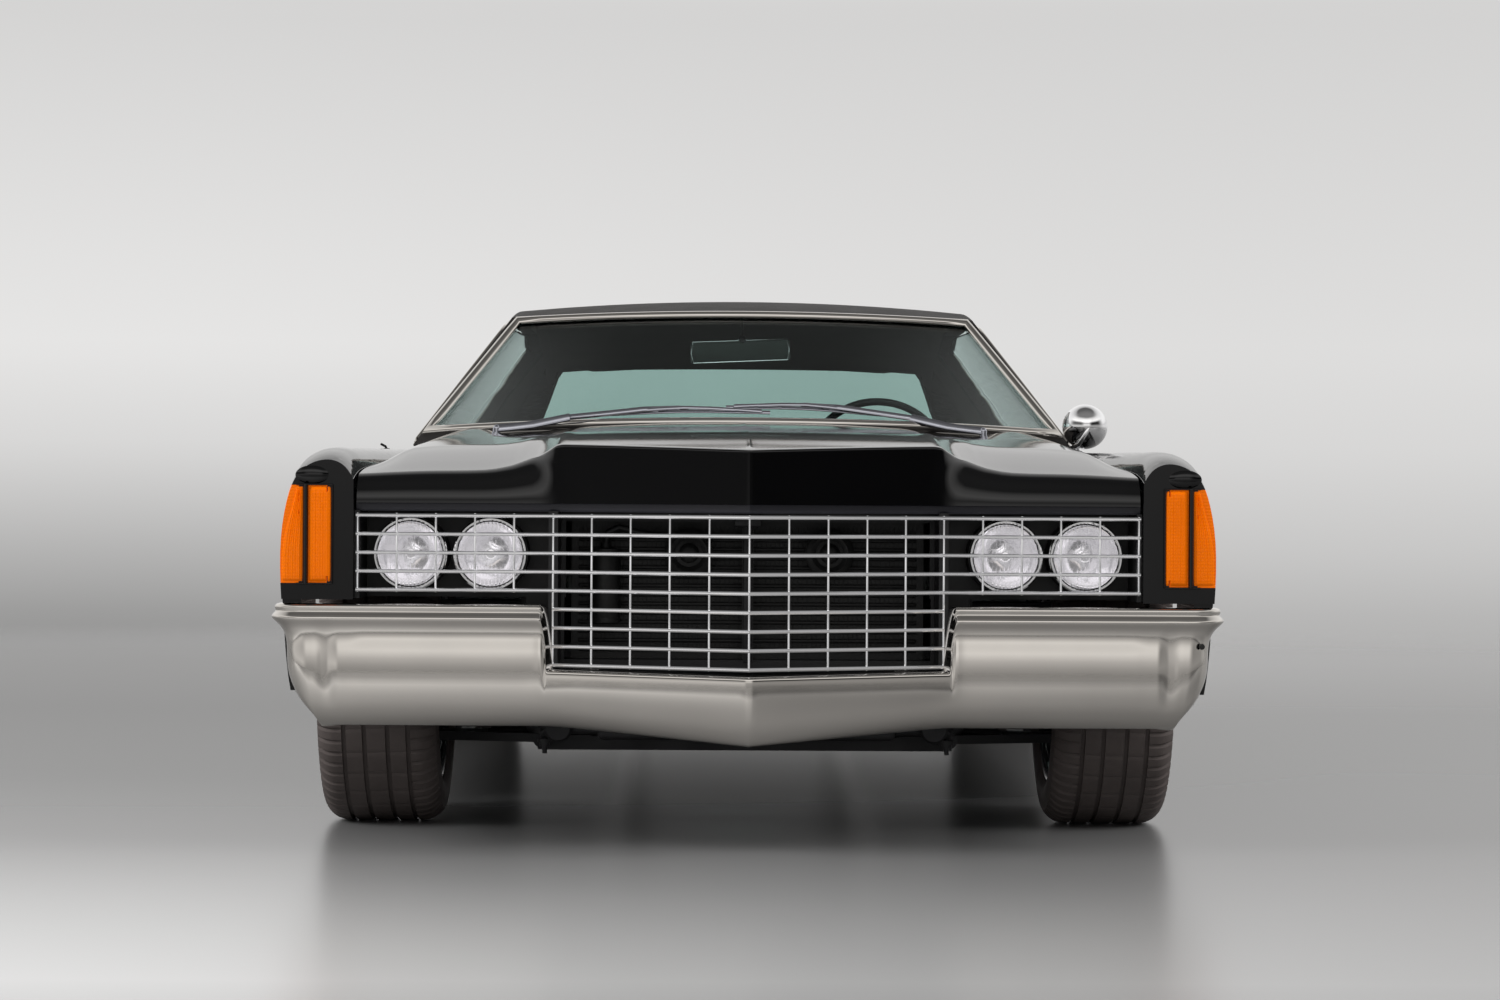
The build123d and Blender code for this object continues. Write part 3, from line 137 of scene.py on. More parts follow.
@dataclass(frozen=True)
class Finish:
    """One procedural finish, its colour and grain both laid out in object space."""

    name: str
    colour: Point
    metallic: float = 0.0
    roughness: float = 0.4
    coat: float = 0.0
    transmission: float = 0.0
    ior: float = 1.45
    # glow is emission: the lamp lenses and reflectors glow, and on the grille chrome the glow is a
    # painted highlight
    glow: float = 0.0
    grain: Grain = Grain.FINE
    scale: float = 60.0
    depth: float = 0.0004
    mottle: float = 0.10
    smudge: float = 0.04
    patches: float = 4.0

    def material(self) -> bpy.types.Material:
        """Builds the material once and returns it.

        Returns:
            The node material of this finish.
        """
        title = "finish_" + self.name
        found = bpy.data.materials.get(title)
        if found:
            return found
        made = bpy.data.materials.new(title)
        made.use_nodes = True
        tree = made.node_tree
        place = tree.nodes.new("ShaderNodeTexCoord").outputs["Object"]
        darker = (*[c * (1 - self.mottle) for c in self.colour], 1.0)
        lighter = (*[min(1.0, c * (1 + self.mottle)) for c in self.colour], 1.0)
        patch = self._noise(tree, place, self.patches, PATCH_DETAIL)
        tone = add_node(tree, "Mix", {"A": darker, "B": lighter, "Factor": patch}, data_type="RGBA")
        smudges = self._noise(tree, place, self.patches * SMUDGE_RATIO, SMUDGE_DETAIL)
        rough = add_node(tree, "MapRange", {
            "To Min": max(0.0, self.roughness - self.smudge),
            "To Max": min(1.0, self.roughness + self.smudge), "Value": smudges})
        shader = tree.nodes["Principled BSDF"]
        feed(tree, shader, {
            "Base Color": tone.outputs["Result"], "Roughness": rough.outputs["Result"],
            "Metallic": self.metallic, "IOR": self.ior, "Coat Weight": self.coat,
            "Coat Roughness": COAT_ROUGHNESS, "Transmission Weight": self.transmission,
            "Emission Color": (*self.colour, 1.0), "Emission Strength": self.glow})
        if self.depth:
            bump = add_node(tree, "Bump", {"Strength": 1.0, "Distance": self.depth,
                                           "Height": self._height(tree, place)})
            feed(tree, shader, {"Normal": bump.outputs["Normal"]})
        return made

    @staticmethod
    def _noise(tree: bpy.types.NodeTree, place: bpy.types.NodeSocket, scale: float,
               detail: float, stretch: Point = (1.0, 1.0, 1.0)) -> bpy.types.NodeSocket:
        """Adds a noise texture.

        Args:
            tree: Node tree that gets it.
            place: Coordinates that it reads.
            scale: Waves to a metre.
            detail: Octaves.
            stretch: Scale along each axis.

        Returns:
            The noise value.
        """
        mapping = add_node(tree, "Mapping", {"Scale": stretch, "Vector": place})
        noise = add_node(tree, "TexNoise", {"Scale": scale, "Detail": detail,
                                            "Vector": mapping.outputs["Vector"]})
        return noise.outputs["Fac"]

    @staticmethod
    def _waves(tree: bpy.types.NodeTree, place: bpy.types.NodeSocket, scale: float,
               way: str) -> bpy.types.NodeSocket:
        """Adds straight waves along one axis and returns their height.

        Args:
            tree: Node tree that gets them.
            place: Coordinates that they read.
            scale: Scale of the waves.
            way: Axis letter.

        Returns:
            The wave value.
        """
        waves = add_node(tree, "TexWave", {"Scale": scale, "Vector": place}, bands_direction=way)
        return waves.outputs["Fac"]

    def _height(self, tree: bpy.types.NodeTree,
                place: bpy.types.NodeSocket) -> bpy.types.NodeSocket:
        """Adds the grain and returns its height.

        Args:
            tree: Node tree that gets it.
            place: Coordinates that it reads.

        Returns:
            The height value.
        """
        if self.grain is Grain.LEATHER:
            cells = add_node(tree, "TexVoronoi", {"Scale": self.scale, "Vector": place})
            return cells.outputs["Distance"]
        if self.grain in WAVE_GRAINS:
            first, second, share, operation = WAVE_GRAINS[self.grain]
            waves = {0: self._waves(tree, place, self.scale, first),
                     1: self._waves(tree, place, self.scale * share, second)}
            return add_node(tree, "Math", waves, operation=operation).outputs["Value"]
        detail, stretch = NOISE_GRAINS[self.grain]
        return self._noise(tree, place, self.scale, detail, stretch)


BLACK_PAINT = Finish("black_paint_gloss", (0.0022, 0.0022, 0.0025), roughness=0.055, scale=260.0,
                     depth=0.000003, mottle=0.15, smudge=0.02)
BLACK_STRUCTURE = Finish("black_structure", (0.012, 0.012, 0.013), roughness=0.42, scale=180.0,
                         depth=0.0001, mottle=0.3, smudge=0.1)
CHROME = Finish("polished_chrome", (0.66, 0.630, 0.590), metallic=1.0, roughness=0.05, scale=14.0,
                depth=0.00004, mottle=0.05, smudge=0.035, patches=7.0)
BRIGHT_CHROME = Finish("bright_chrome", (0.92, 0.92, 0.93), metallic=1.0, roughness=0.08,
                       scale=30.0, depth=0.00002, mottle=0.04, smudge=0.03)
SILVERED = Finish("silvered_reflector", (0.94, 0.93, 0.95), metallic=1.0, roughness=0.07, glow=0.09,
                  scale=60.0, depth=0.0002, mottle=0.05, smudge=0.03)
# the grille chrome glows a little: a painted highlight that brightens the bars
GLOWING_GRILLE_CHROME = Finish("grille_chrome", (0.95, 0.95, 0.97), metallic=1.0, roughness=0.12, glow=0.10,
                       scale=40.0, depth=0.00002, mottle=0.04, smudge=0.03)
HEADER_METAL = Finish("header_metal", (0.030, 0.030, 0.040), roughness=0.30, scale=90.0,
                      depth=0.00005)
WIPER_STEEL = Finish("wiper_steel", (0.46, 0.47, 0.52), metallic=1.0, roughness=0.20, scale=120.0,
                     depth=0.00005, mottle=0.10, smudge=0.05)
MIRROR_CASE = Finish("mirror_case", (0.085, 0.105, 0.095), roughness=0.30, scale=300.0,
                     depth=0.0001)
ROOF_GRAIN = Finish("grained_roof_cover", (0.020, 0.018, 0.017), roughness=0.52, ior=1.18,
                    grain=Grain.LEATHER, scale=480.0, depth=0.0003, mottle=0.15, smudge=0.06)
TINTED_GLASS, REAR_GLASS, SIDE_GLASS = (
    Finish(name, colour, roughness=0.0, transmission=1.0, ior=ior, depth=0.0, mottle=0.02,
           smudge=0.0)
    for name, colour, ior in (("tinted_glass", (0.74, 0.86, 0.84), 1.45),
                              ("rear_tinted_glass", (0.54, 0.72, 0.68), 1.45),
                              ("side_glass", (0.88, 0.95, 0.94), 1.12)))
LAMP_GLASS = Finish("fluted_lamp_glass", (0.98, 0.98, 0.985), roughness=0.0, transmission=1.0,
                    grain=Grain.FLUTES, scale=38.0, depth=0.0010, mottle=0.01, smudge=0.0)
AMBER = Finish("amber_lens", (0.80, 0.150, 0.0008), roughness=0.20, ior=1.22, glow=0.22,
               grain=Grain.RIBS, scale=45.0, depth=0.00018, mottle=0.10, smudge=0.05, patches=14.0)
RED_LENS = Finish("red_lens", (0.42, 0.006, 0.006), roughness=0.12, coat=0.6, transmission=0.2,
                  glow=0.05, grain=Grain.RIBS, scale=45.0, depth=0.0005, mottle=0.14, smudge=0.05,
                  patches=22.0)
TYRE_RUBBER = Finish("tyre_rubber", (0.108, 0.090, 0.085), roughness=0.62, scale=420.0,
                     depth=0.00025, mottle=0.28, smudge=0.10, patches=14.0)
SOFT_RUBBER = Finish("seal_rubber", (0.012, 0.012, 0.012), roughness=0.55, scale=300.0,
                     depth=0.0002)
WHEEL_ALLOY = Finish("wheel_alloy", (0.50, 0.50, 0.51), metallic=1.0, roughness=0.22,
                     grain=Grain.BRUSHED, scale=200.0, depth=0.00004, mottle=0.06, smudge=0.06)
CAST_METAL = Finish("cast_metal", (0.035, 0.035, 0.037), metallic=0.6, roughness=0.5,
                    grain=Grain.CAST, scale=120.0, depth=0.0006, mottle=0.3, smudge=0.12)
BARE_STEEL = Finish("aluminised_steel", (0.36, 0.35, 0.34), metallic=1.0, roughness=0.38,
                    scale=70.0, depth=0.0001, mottle=0.2, smudge=0.12)
RADIATOR_BLACK = Finish("radiator_black", (0.012, 0.012, 0.012), roughness=0.5, scale=300.0,
                        depth=0.0003)
DASH_PLASTIC = Finish("grained_plastic", (0.016, 0.016, 0.016), roughness=0.45, grain=Grain.LEATHER,
                      scale=420.0, depth=0.0003)
SEAT_LEATHER = Finish("seat_leather", (0.022, 0.020, 0.019), roughness=0.42, grain=Grain.LEATHER,
                      scale=330.0, depth=0.0005, mottle=0.2, smudge=0.08)
CARPET = Finish("cut_pile_carpet", (0.018, 0.017, 0.016), roughness=0.95, grain=Grain.CARPET,
                scale=500.0, depth=0.002, mottle=0.35, smudge=0.0)
HEADLINER = Finish("headliner_cloth", (0.085, 0.078, 0.070), roughness=0.9, grain=Grain.WEAVE,
                   scale=260.0, depth=0.0004, mottle=0.15)
MIRROR_GLASS = Finish("mirror_glass", (0.85, 0.86, 0.87), metallic=1.0, roughness=0.01, depth=0.0,
                      mottle=0.02, smudge=0.005)
PLATE_WHITE = Finish("plain_plate", (0.55, 0.55, 0.53), roughness=0.35, scale=200.0, depth=0.0001)


# ---- workshop ----------------------------------------------------------------------------------
class Shop:
    """Modelling steps that every sub-assembly shares."""

    @staticmethod
    def clear() -> None:
        """Leaves edit mode and deselects everything."""
        if bpy.context.object and bpy.context.object.mode != "OBJECT":
            bpy.ops.object.mode_set(mode="OBJECT")
        bpy.ops.object.select_all(action="DESELECT")

    @staticmethod
    def pick(piece: Piece) -> None:
        """Makes one piece the only selected and active one."""
        Shop.clear()
        piece.select_set(True)
        bpy.context.view_layer.objects.active = piece

    @staticmethod
    def mend(piece: Piece, close: bool = False) -> Piece:
        """Merges doubles, fills open ends where asked and turns the faces outwards.

        Args:
            piece: Mesh to mend.
            close: Whether boundary loops are filled.

        Returns:
            The same piece.
        """
        Shop.pick(piece)
        bpy.ops.object.mode_set(mode="EDIT")
        bpy.ops.mesh.select_all(action="SELECT")
        bpy.ops.mesh.remove_doubles(threshold=MERGE_GAP)
        if close:
            bpy.ops.mesh.select_all(action="SELECT")
            bpy.ops.mesh.fill_holes(sides=0)
        bpy.ops.mesh.select_all(action="SELECT")
        bpy.ops.mesh.normals_make_consistent(inside=False)
        bpy.ops.object.mode_set(mode="OBJECT")
        return piece

    @staticmethod
    def lattice(name: str, columns: int, rows: int, spot: Callable[[int, int], Sequence[float]],
                close: bool = False) -> Piece:
        """Adds a grid and lays its corners on a surface.

        Args:
            name: Piece name.
            columns: Corners across.
            rows: Corners along.
            spot: Gives the place of a corner from its column and row.
            close: Whether open ends are filled.

        Returns:
            The new piece.
        """
        Shop.clear()
        bpy.ops.mesh.primitive_grid_add(x_subdivisions=columns - 1, y_subdivisions=rows - 1,
                                        size=1.0)
        piece = bpy.context.object
        piece.name = name
        for corner in piece.data.vertices:
            column = round((corner.co.x + 0.5) * (columns - 1))
            row = round((corner.co.y + 0.5) * (rows - 1))
            corner.co = spot(column, row)
        return Shop.mend(piece, close)

    @staticmethod
    def sweep(name: str, points: Sequence[Sequence[float]], normals: Sequence[Sequence[float]],
              section: Sequence[Spot], closed: bool = False) -> Piece:
        """Sweeps a closed section along a path.

        Args:
            name: Piece name.
            points: Path.
            normals: Outward direction at each point.
            section: Loop of (sideways, outwards) pairs.
            closed: Whether the path returns to its start.

        Returns:
            The new piece.
        """
        path = [Vector(p) for p in points]
        count = len(path)
        frames = []
        for i, here in enumerate(path):
            before = path[i - 1] if i or closed else here
            after = path[(i + 1) % count] if i < count - 1 or closed else here
            along = (after - before).normalized()
            out = Vector(normals[i])
            side = along.cross(out).normalized()
            turn = 1.0
            if before != here and after != here:
                bend = (here - before).normalized().dot((after - here).normalized())
                turn = 1.0 / max(0.6, math.sqrt(max(0.0, (1 + bend) / 2)))
            frames.append((here, side * turn, side.cross(along).normalized()))
        loop = list(section) + [section[0]]
        rows = count + 1 if closed else count

        def spot(column: int, row: int) -> Vector:
            """Corner of the swept skin."""
            here, side, out = frames[row % count]
            a, b = loop[column]
            return here + side * a + out * b

        return Shop.lattice(name, len(loop), rows, spot, close=not closed)

    @staticmethod
    def ring(width: float, height: float, steps: int) -> list[Spot]:
        """Elliptic section of some corners, as a loop of (sideways, outwards) pairs."""
        return [(math.cos(2 * math.pi * k / steps) * width / 2,
                 math.sin(2 * math.pi * k / steps) * height / 2) for k in range(steps)]

    @staticmethod
    def bar(name: str, points: Sequence[Sequence[float]], up: Sequence[float], width: float,
            height: float, steps: int, closed: bool = False) -> Piece:
        """Sweeps an oval section along a path.

        Args:
            name: Piece name.
            points: Path.
            up: Rough outward direction, along the section's height.
            width: Full width of the section.
            height: Its full height.
            steps: Its corners.
            closed: Whether the path returns to its start.

        Returns:
            The new piece.
        """
        return Shop.sweep(name, points, [up] * len(points), Shop.ring(width, height, steps), closed)

    @staticmethod
    def wire(name: str, points: Sequence[Sequence[float]], radius: float,
             up: Sequence[float] = UP, steps: int = 8, closed: bool = False) -> Piece:
        """Round bar along a path, with up as its rough outward direction."""
        return Shop.bar(name, points, up, radius * 2, radius * 2, steps, closed)

    @staticmethod
    def outline(name: str, points: Sequence[Sequence[float]], closed: bool = False) -> Piece:
        """Draws an edge chain by extruding a point.

        Args:
            name: Piece name.
            points: Corners in order.
            closed: Whether the last joins the first.

        Returns:
            The new piece, at the origin.
        """
        Shop.clear()
        bpy.ops.mesh.primitive_plane_add(size=0.01, location=points[0])
        piece = bpy.context.object
        piece.name = name
        bpy.ops.object.mode_set(mode="EDIT")
        bpy.ops.mesh.merge(type="CENTER")
        for a, b in zip(points, points[1:]):
            step = tuple(Vector(b) - Vector(a))
            bpy.ops.mesh.extrude_region_move(TRANSFORM_OT_translate={"value": step})
        if closed:
            bpy.ops.mesh.select_all(action="SELECT")
            bpy.ops.mesh.edge_face_add()
        bpy.ops.object.mode_set(mode="OBJECT")
        bpy.ops.object.transform_apply(location=True, rotation=True, scale=True)
        return piece

    @staticmethod
    def turned(name: str, profile: Sequence[Spot], at: Point, axis: str = "X", way: float = 1.0,
               steps: int = 48) -> Piece:
        """Turns a profile about an axis.

        Args:
            name: Piece name.
            profile: (axial, radius) pairs.
            at: Point on the axis where axial is zero.
            axis: Axis letter.
            way: 1 or -1, the axial direction.
            steps: Facets round.

        Returns:
            The new piece.
        """
        along = Vector([float(letter == axis) for letter in "XYZ"])
        across = Vector((1, 0, 0)) if axis == "Z" else Vector(UP)
        piece = Shop.outline(name, [Vector(at) + along * a * way + across * r for a, r in profile])
        bpy.ops.object.mode_set(mode="EDIT")
        bpy.ops.mesh.select_all(action="SELECT")
        bpy.ops.mesh.spin(steps=steps, angle=2 * math.pi, center=at, axis=tuple(along))
        bpy.ops.object.mode_set(mode="OBJECT")
        return Shop.mend(piece)

    @staticmethod
    def slab(name: str, corners: Sequence[Sequence[float]], depth: Sequence[float]) -> Piece:
        """Fills an outline and extrudes it by depth.

        Args:
            name: Piece name.
            corners: Outline in order.
            depth: Extrusion.

        Returns:
            The new piece.
        """
        piece = Shop.outline(name, corners, closed=True)
        bpy.ops.object.mode_set(mode="EDIT")
        bpy.ops.mesh.select_all(action="SELECT")
        bpy.ops.mesh.extrude_region_move(TRANSFORM_OT_translate={"value": tuple(depth)})
        bpy.ops.object.mode_set(mode="OBJECT")
        return Shop.mend(piece)

    @staticmethod
    def brick(name: str, low: Sequence[float], high: Sequence[float], edge: float = 0.003,
              segments: int = 3) -> Piece:
        """Adds a box with rounded edges.

        Args:
            name: Piece name.
            low: Its corner with the smallest values.
            high: Its corner with the largest ones.
            edge: Radius of its edges.
            segments: Facets round an edge.

        Returns:
            The new piece.
        """
        Shop.clear()
        middle = [(a + b) / 2 for a, b in zip(low, high)]
        bpy.ops.mesh.primitive_cube_add(size=1.0, location=middle)
        piece = bpy.context.object
        piece.name = name
        piece.scale = [b - a for a, b in zip(low, high)]
        bpy.ops.object.transform_apply(location=True, rotation=True, scale=True)
        return Shop.modify(piece, "BEVEL", width=edge, segments=segments)

    @staticmethod
    def modify(piece: Piece, kind: str, **settings: object) -> Piece:
        """Adds a modifier and applies it.

        Args:
            piece: Piece to change.
            kind: Modifier type.
            **settings: Its properties.

        Returns:
            The same piece.
        """
        Shop.pick(piece)
        step = piece.modifiers.new(kind.lower(), kind)
        for key, value in settings.items():
            setattr(step, key, value)
        bpy.ops.object.modifier_apply(modifier=step.name)
        return piece

    @staticmethod
    def copy(piece: Piece, name: str, move: Matrix) -> Piece:
        """Duplicates a piece and moves the new mesh.

        Args:
            piece: Piece to copy.
            name: Name of the copy.
            move: Matrix that places it.

        Returns:
            The copy.
        """
        Shop.pick(piece)
        bpy.ops.object.duplicate(linked=False)
        made = bpy.context.object
        made.name = name
        made.data.transform(move)
        return made

    @staticmethod
    def join(name: str, pieces: Sequence[Piece]) -> Piece:
        """Joins pieces into one mesh.

        Args:
            name: Name of the whole.
            pieces: Its parts, the first of which is kept.

        Returns:
            The first piece, now the whole.
        """
        Shop.clear()
        for piece in pieces:
            piece.select_set(True)
        bpy.context.view_layer.objects.active = pieces[0]
        if len(pieces) > 1:
            bpy.ops.object.join()
        pieces[0].name = name
        return pieces[0]

    @staticmethod
    def dress(piece: Piece, finish: Finish, body: str, slot: str, stands_for: Sequence[str] = (),
              angle: float = 35.0) -> Piece:
        """Gives a finished piece its material, shading and body.

        Args:
            piece: Finished piece.
            finish: Its finish.
            body: CAD body that it rides on.
            slot: Not used.
            stands_for: CAD nodes that it replaces.
            angle: Shading angle in degrees.

        Returns:
            The same piece.
        """
        Shop.pick(piece)
        bpy.ops.object.shade_smooth_by_angle(angle=math.radians(angle))
        piece.data.materials.clear()
        piece.data.materials.append(finish.material())
        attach(piece, body)
        if stands_for:
            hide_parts(*stands_for)
        LOG.info("%s: %d faces on %s", piece.name, len(piece.data.polygons), body)
        return piece


class Skin:
    """Surface of some CAD nodes, for laying trim on it."""

    def __init__(self, *nodes: str) -> None:
        """Collects the nodes' triangles.

        Args:
            *nodes: CAD node names.
        """
        corners: list[Vector] = []
        faces: list[list[int]] = []
        for node in nodes:
            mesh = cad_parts[node].data
            start = len(corners)
            corners += [v.co.copy() for v in mesh.vertices]
            faces += [[start + i for i in p.vertices] for p in mesh.polygons]
        self.tree = BVHTree.FromPolygons(corners, faces)

    def cast(self, start: Sequence[float],
             way: Sequence[float]) -> tuple[Optional[Vector], Vector]:
        """Finds the first surface point along a ray.

        Args:
            start: Where the ray starts.
            way: Its direction.

        Returns:
            The point, or None, and the normal towards the start.
        """
        place, normal, _, _ = self.tree.ray_cast(Vector(start), Vector(way))
        if place is None:
            return None, -Vector(way)
        return place, normal if normal.dot(Vector(way)) < 0 else -normal

    def molding(self, name: str, casts: Sequence[tuple[Sequence[float], Sequence[float]]],
                width: float, height: float, closed: bool = False) -> Piece:
        """Half-round strip along surface points found by casting rays.

        Args:
            name: Piece name.
            casts: (start, way) of each ray.
            width: Strip width.
            height: How far it stands proud.
            closed: Whether it runs all the way round.

        Returns:
            The new piece.
        """
        buried = 0.0015
        points, normals = [], []
        for start, way in casts:
            place, normal = self.cast(start, way)
            if place is not None:
                points.append(place)
                normals.append(normal)
        smooth = []
        count = len(normals)
        for i in range(count):
            near = [normals[j % count] for j in range(i - 1, i + 2) if closed or 0 <= j < count]
            smooth.append(sum(near, Vector()).normalized())
        section = [(math.cos(a) * width / 2, math.sin(a) * height)
                   for a in (k * math.pi / 6 for k in range(7))]
        section += [(-width / 2, -buried), (width / 2, -buried)]
        return Shop.sweep(name, points, smooth, section, closed)


def follow(table: Sequence[Spot], at: float) -> float:
    """Smooth value through a table, level beyond its ends.

    Args:
        table: (place, value) pairs in order.
        at: Place.

    Returns:
        The value there.
    """
    if at <= table[0][0]:
        return table[0][1]
    if at >= table[-1][0]:
        return table[-1][1]
    last = len(table) - 1
    slopes = []
    for i in range(last + 1):
        low, high = table[max(i - 1, 0)], table[min(i + 1, last)]
        slopes.append((high[1] - low[1]) / (high[0] - low[0]))
    for i in range(last):
        (x0, v0), (x1, v1) = table[i], table[i + 1]
        if at <= x1:
            h = x1 - x0
            t = (at - x0) / h
            return (v0 * (2 * t**3 - 3 * t**2 + 1) + slopes[i] * h * (t**3 - 2 * t**2 + t)
                    + v1 * (3 * t**2 - 2 * t**3) + slopes[i + 1] * h * (t**3 - t**2))
    return table[-1][1]


def soft_step(low: float, high: float, at: float) -> float:
    """Smooth step from 0 at low to 1 at high."""
    t = min(1.0, max(0.0, (at - low) / (high - low)))
    return t * t * (3 - 2 * t)


def spread(low: float, high: float, count: int) -> list[float]:
    """Evenly spaced values, both ends included."""
    return [low + (high - low) * i / (count - 1) for i in range(count)]


# ---- studio ------------------------------------------------------------------------------------
# (height of the line of sight, grey) of the cove, from below the horizon upwards
COVE_TOP = ((0.20, 0.85), (0.34, 0.95), (0.5, 0.90), (0.66, 0.75), (0.80, 0.50), (0.88, 0.11),
            (1.0, 0.10))
# behind the car, on the left and on the right of the picture
COVE_BEHIND = (
    ((-0.2, 0.36), (-0.06, 0.30), (-0.034, 0.32), (-0.014, 0.46), (0.014, 0.68), (0.042, 0.79),
     (0.068, 0.76), (0.136, 0.66)) + COVE_TOP,
    ((-0.2, 0.40), (-0.06, 0.44), (-0.034, 0.46), (-0.014, 0.57), (0.014, 0.68), (0.042, 0.73),
     (0.068, 0.71), (0.136, 0.65)) + COVE_TOP)
# ahead of the car, from one side over the middle to the other
COVE_AHEAD = (
    ((-0.2, 0.26), (-0.06, 0.48), (0.0, 0.72), (0.1, 0.55), (0.17, 0.28), (0.24, 0.12),
     (0.36, 0.10), (0.5, 1.2), (0.66, 0.9), (0.8, 0.20)),
    ((-0.2, 0.22), (-0.06, 0.34), (0.0, 0.45), (0.07, 0.62), (0.14, 0.95), (0.22, 0.75),
     (0.32, 0.40), (0.5, 1.4), (0.66, 1.0), (0.8, 0.20)),
    ((-0.2, 0.20), (-0.06, 0.26), (0.0, 0.36), (0.1, 0.30), (0.17, 0.08), (0.24, 0.015),
     (0.36, 0.04), (0.5, 1.1), (0.66, 0.8), (0.8, 0.20)))
# (place along Y, grey) of the floor, on the left and on the right of the picture; these greys are
# painted light and shade, not the floor's own colour: a painted pool of light in front of the car
# that falls off to painted shade under it
FLOOR_LIGHT_AND_SHADE = (
    ((-12, 0.22), (-7.5, 0.24), (-6.0, 0.32), (-5.2, 0.55), (-4.6, 0.74), (-3.5, 0.50),
     (-2.5, 0.27), (-0.6, 0.11), (2.5, 0.03), (6.4, 0.08), (12, 0.22)),
    ((-12, 0.10), (-7.5, 0.11), (-6.0, 0.14), (-5.2, 0.24), (-4.6, 0.34), (-3.5, 0.27),
     (-2.5, 0.21), (-0.6, 0.20), (2.5, 0.20), (6.4, 0.34), (12, 0.42)))


@dataclass
class Studio:
    """Camera, floor, lights and surroundings."""

    eye: Point = (-0.07, -10.09, 0.748)
    lens: float = 85.0
    sensor: float = 36.0
    sight: float = 200.0
    yaw: float = -0.55
    roll: float = 0.33
    floor_r: float = 12.0
    floor_fade: Spot = (0.98, 0.62)
    floor_roughness: float = 0.27
    floor_specular: float = 0.30
    floor_blend: Spot = (-1.8, 1.8)
    behind_warmth: float = 0.985
    behind_blend: Spot = (-0.17, 0.17)
    ahead_warmth: float = 0.97
    ahead_blends: tuple[Spot, Spot] = ((-0.55, -0.22), (0.22, 0.55))
    cove_blend: Spot = (-0.35, 0.35)
    lamps: Sequence[tuple[str, Point, float]] = (("lamp_left", (6.2, -4.6, 4.4), 260.0),
                                                 ("lamp_right", (-6.2, -5.2, 4.4), 312.0))
    lamp_size: float = 3.6
    lamp_aim: Point = (0.0, -1.0, 0.5)

    def build(self) -> None:
        """Builds the whole studio."""
        bpy.context.scene.view_settings.view_transform = "Standard"
        self._camera()
        self._world()
        self._floor()
        self._lamps()

    def _camera(self) -> None:
        """Adds the camera and makes it the scene's."""
        Shop.clear()
        bpy.ops.object.camera_add(location=self.eye)
        camera = bpy.context.object
        camera.name = "camera"
        level = Matrix.Rotation(math.radians(90.0), 4, "X")
        turn = (Matrix.Rotation(math.radians(self.yaw), 4, "Z") @ level
                @ Matrix.Rotation(math.radians(self.roll), 4, "Z"))
        camera.rotation_euler = turn.to_euler()
        camera.data.lens = self.lens
        camera.data.sensor_width = self.sensor
        camera.data.clip_end = self.sight
        bpy.context.scene.camera = camera

    @staticmethod
    def _ramp(tree: bpy.types.NodeTree, stops: Sequence[Spot], source: bpy.types.NodeSocket,
              warm: float = 1.0) -> bpy.types.NodeSocket:
        """Adds a grey ramp.

        Args:
            tree: Node tree that gets it.
            stops: (place, grey) pairs from one end of the ramp to the other.
            source: Value that drives it.
            warm: Share of blue.

        Returns:
            The ramp's colour.
        """
        low, high = stops[0][0], stops[-1][0]
        fit = add_node(tree, "MapRange", {"From Min": low, "From Max": high, "Value": source})
        ramp = add_node(tree, "ValToRGB", {"Fac": fit.outputs["Result"]})
        marks = ramp.color_ramp.elements
        while len(marks) > 1:
            marks.remove(marks[-1])
        for i, (place, grey) in enumerate(stops):
            spot = (place - low) / (high - low)
            mark = marks[0] if i == 0 else marks.new(spot)
            mark.position = spot
            mark.color = (grey, grey * (1 + warm) / 2, grey * warm, 1.0)
        return ramp.outputs["Color"]

    @staticmethod
    def _mix(tree: bpy.types.NodeTree, factor: bpy.types.NodeSocket, a: bpy.types.NodeSocket,
             b: bpy.types.NodeSocket, span: Spot) -> bpy.types.NodeSocket:
        """Mixes two colours.

        Args:
            tree: Node tree that gets the mix.
            factor: Value that drives it.
            a: Colour where the value is low.
            b: Colour where it is high.
            span: Values between which one gives way to the other.

        Returns:
            The mixed colour.
        """
        fit = add_node(tree, "MapRange", {"From Min": span[0], "From Max": span[1],
                                          "Value": factor}, interpolation_type="SMOOTHSTEP")
        mix = add_node(tree, "Mix", {"Factor": fit.outputs["Result"], "A": a, "B": b},
                       data_type="RGBA")
        return mix.outputs["Result"]

    def _world(self) -> None:
        """Lays a soft studio cove round the scene."""
        world = bpy.data.worlds.new("studio")
        bpy.context.scene.world = world
        world.use_nodes = True
        tree = world.node_tree
        way = tree.nodes.new("ShaderNodeTexCoord").outputs["Generated"]
        split = add_node(tree, "SeparateXYZ", {"Vector": way})
        x, y, z = (split.outputs[k] for k in "XYZ")
        left, right = (self._ramp(tree, stops, z, self.behind_warmth) for stops in COVE_BEHIND)
        dim, middle, dark = (self._ramp(tree, stops, z, self.ahead_warmth)
                             for stops in COVE_AHEAD)
        ahead = self._mix(tree, x, dim, middle, self.ahead_blends[0])
        ahead = self._mix(tree, x, ahead, dark, self.ahead_blends[1])
        behind = self._mix(tree, x, left, right, self.behind_blend)
        colour = self._mix(tree, y, ahead, behind, self.cove_blend)
        feed(tree, tree.nodes["Background"], {"Color": colour, "Strength": 1.0})

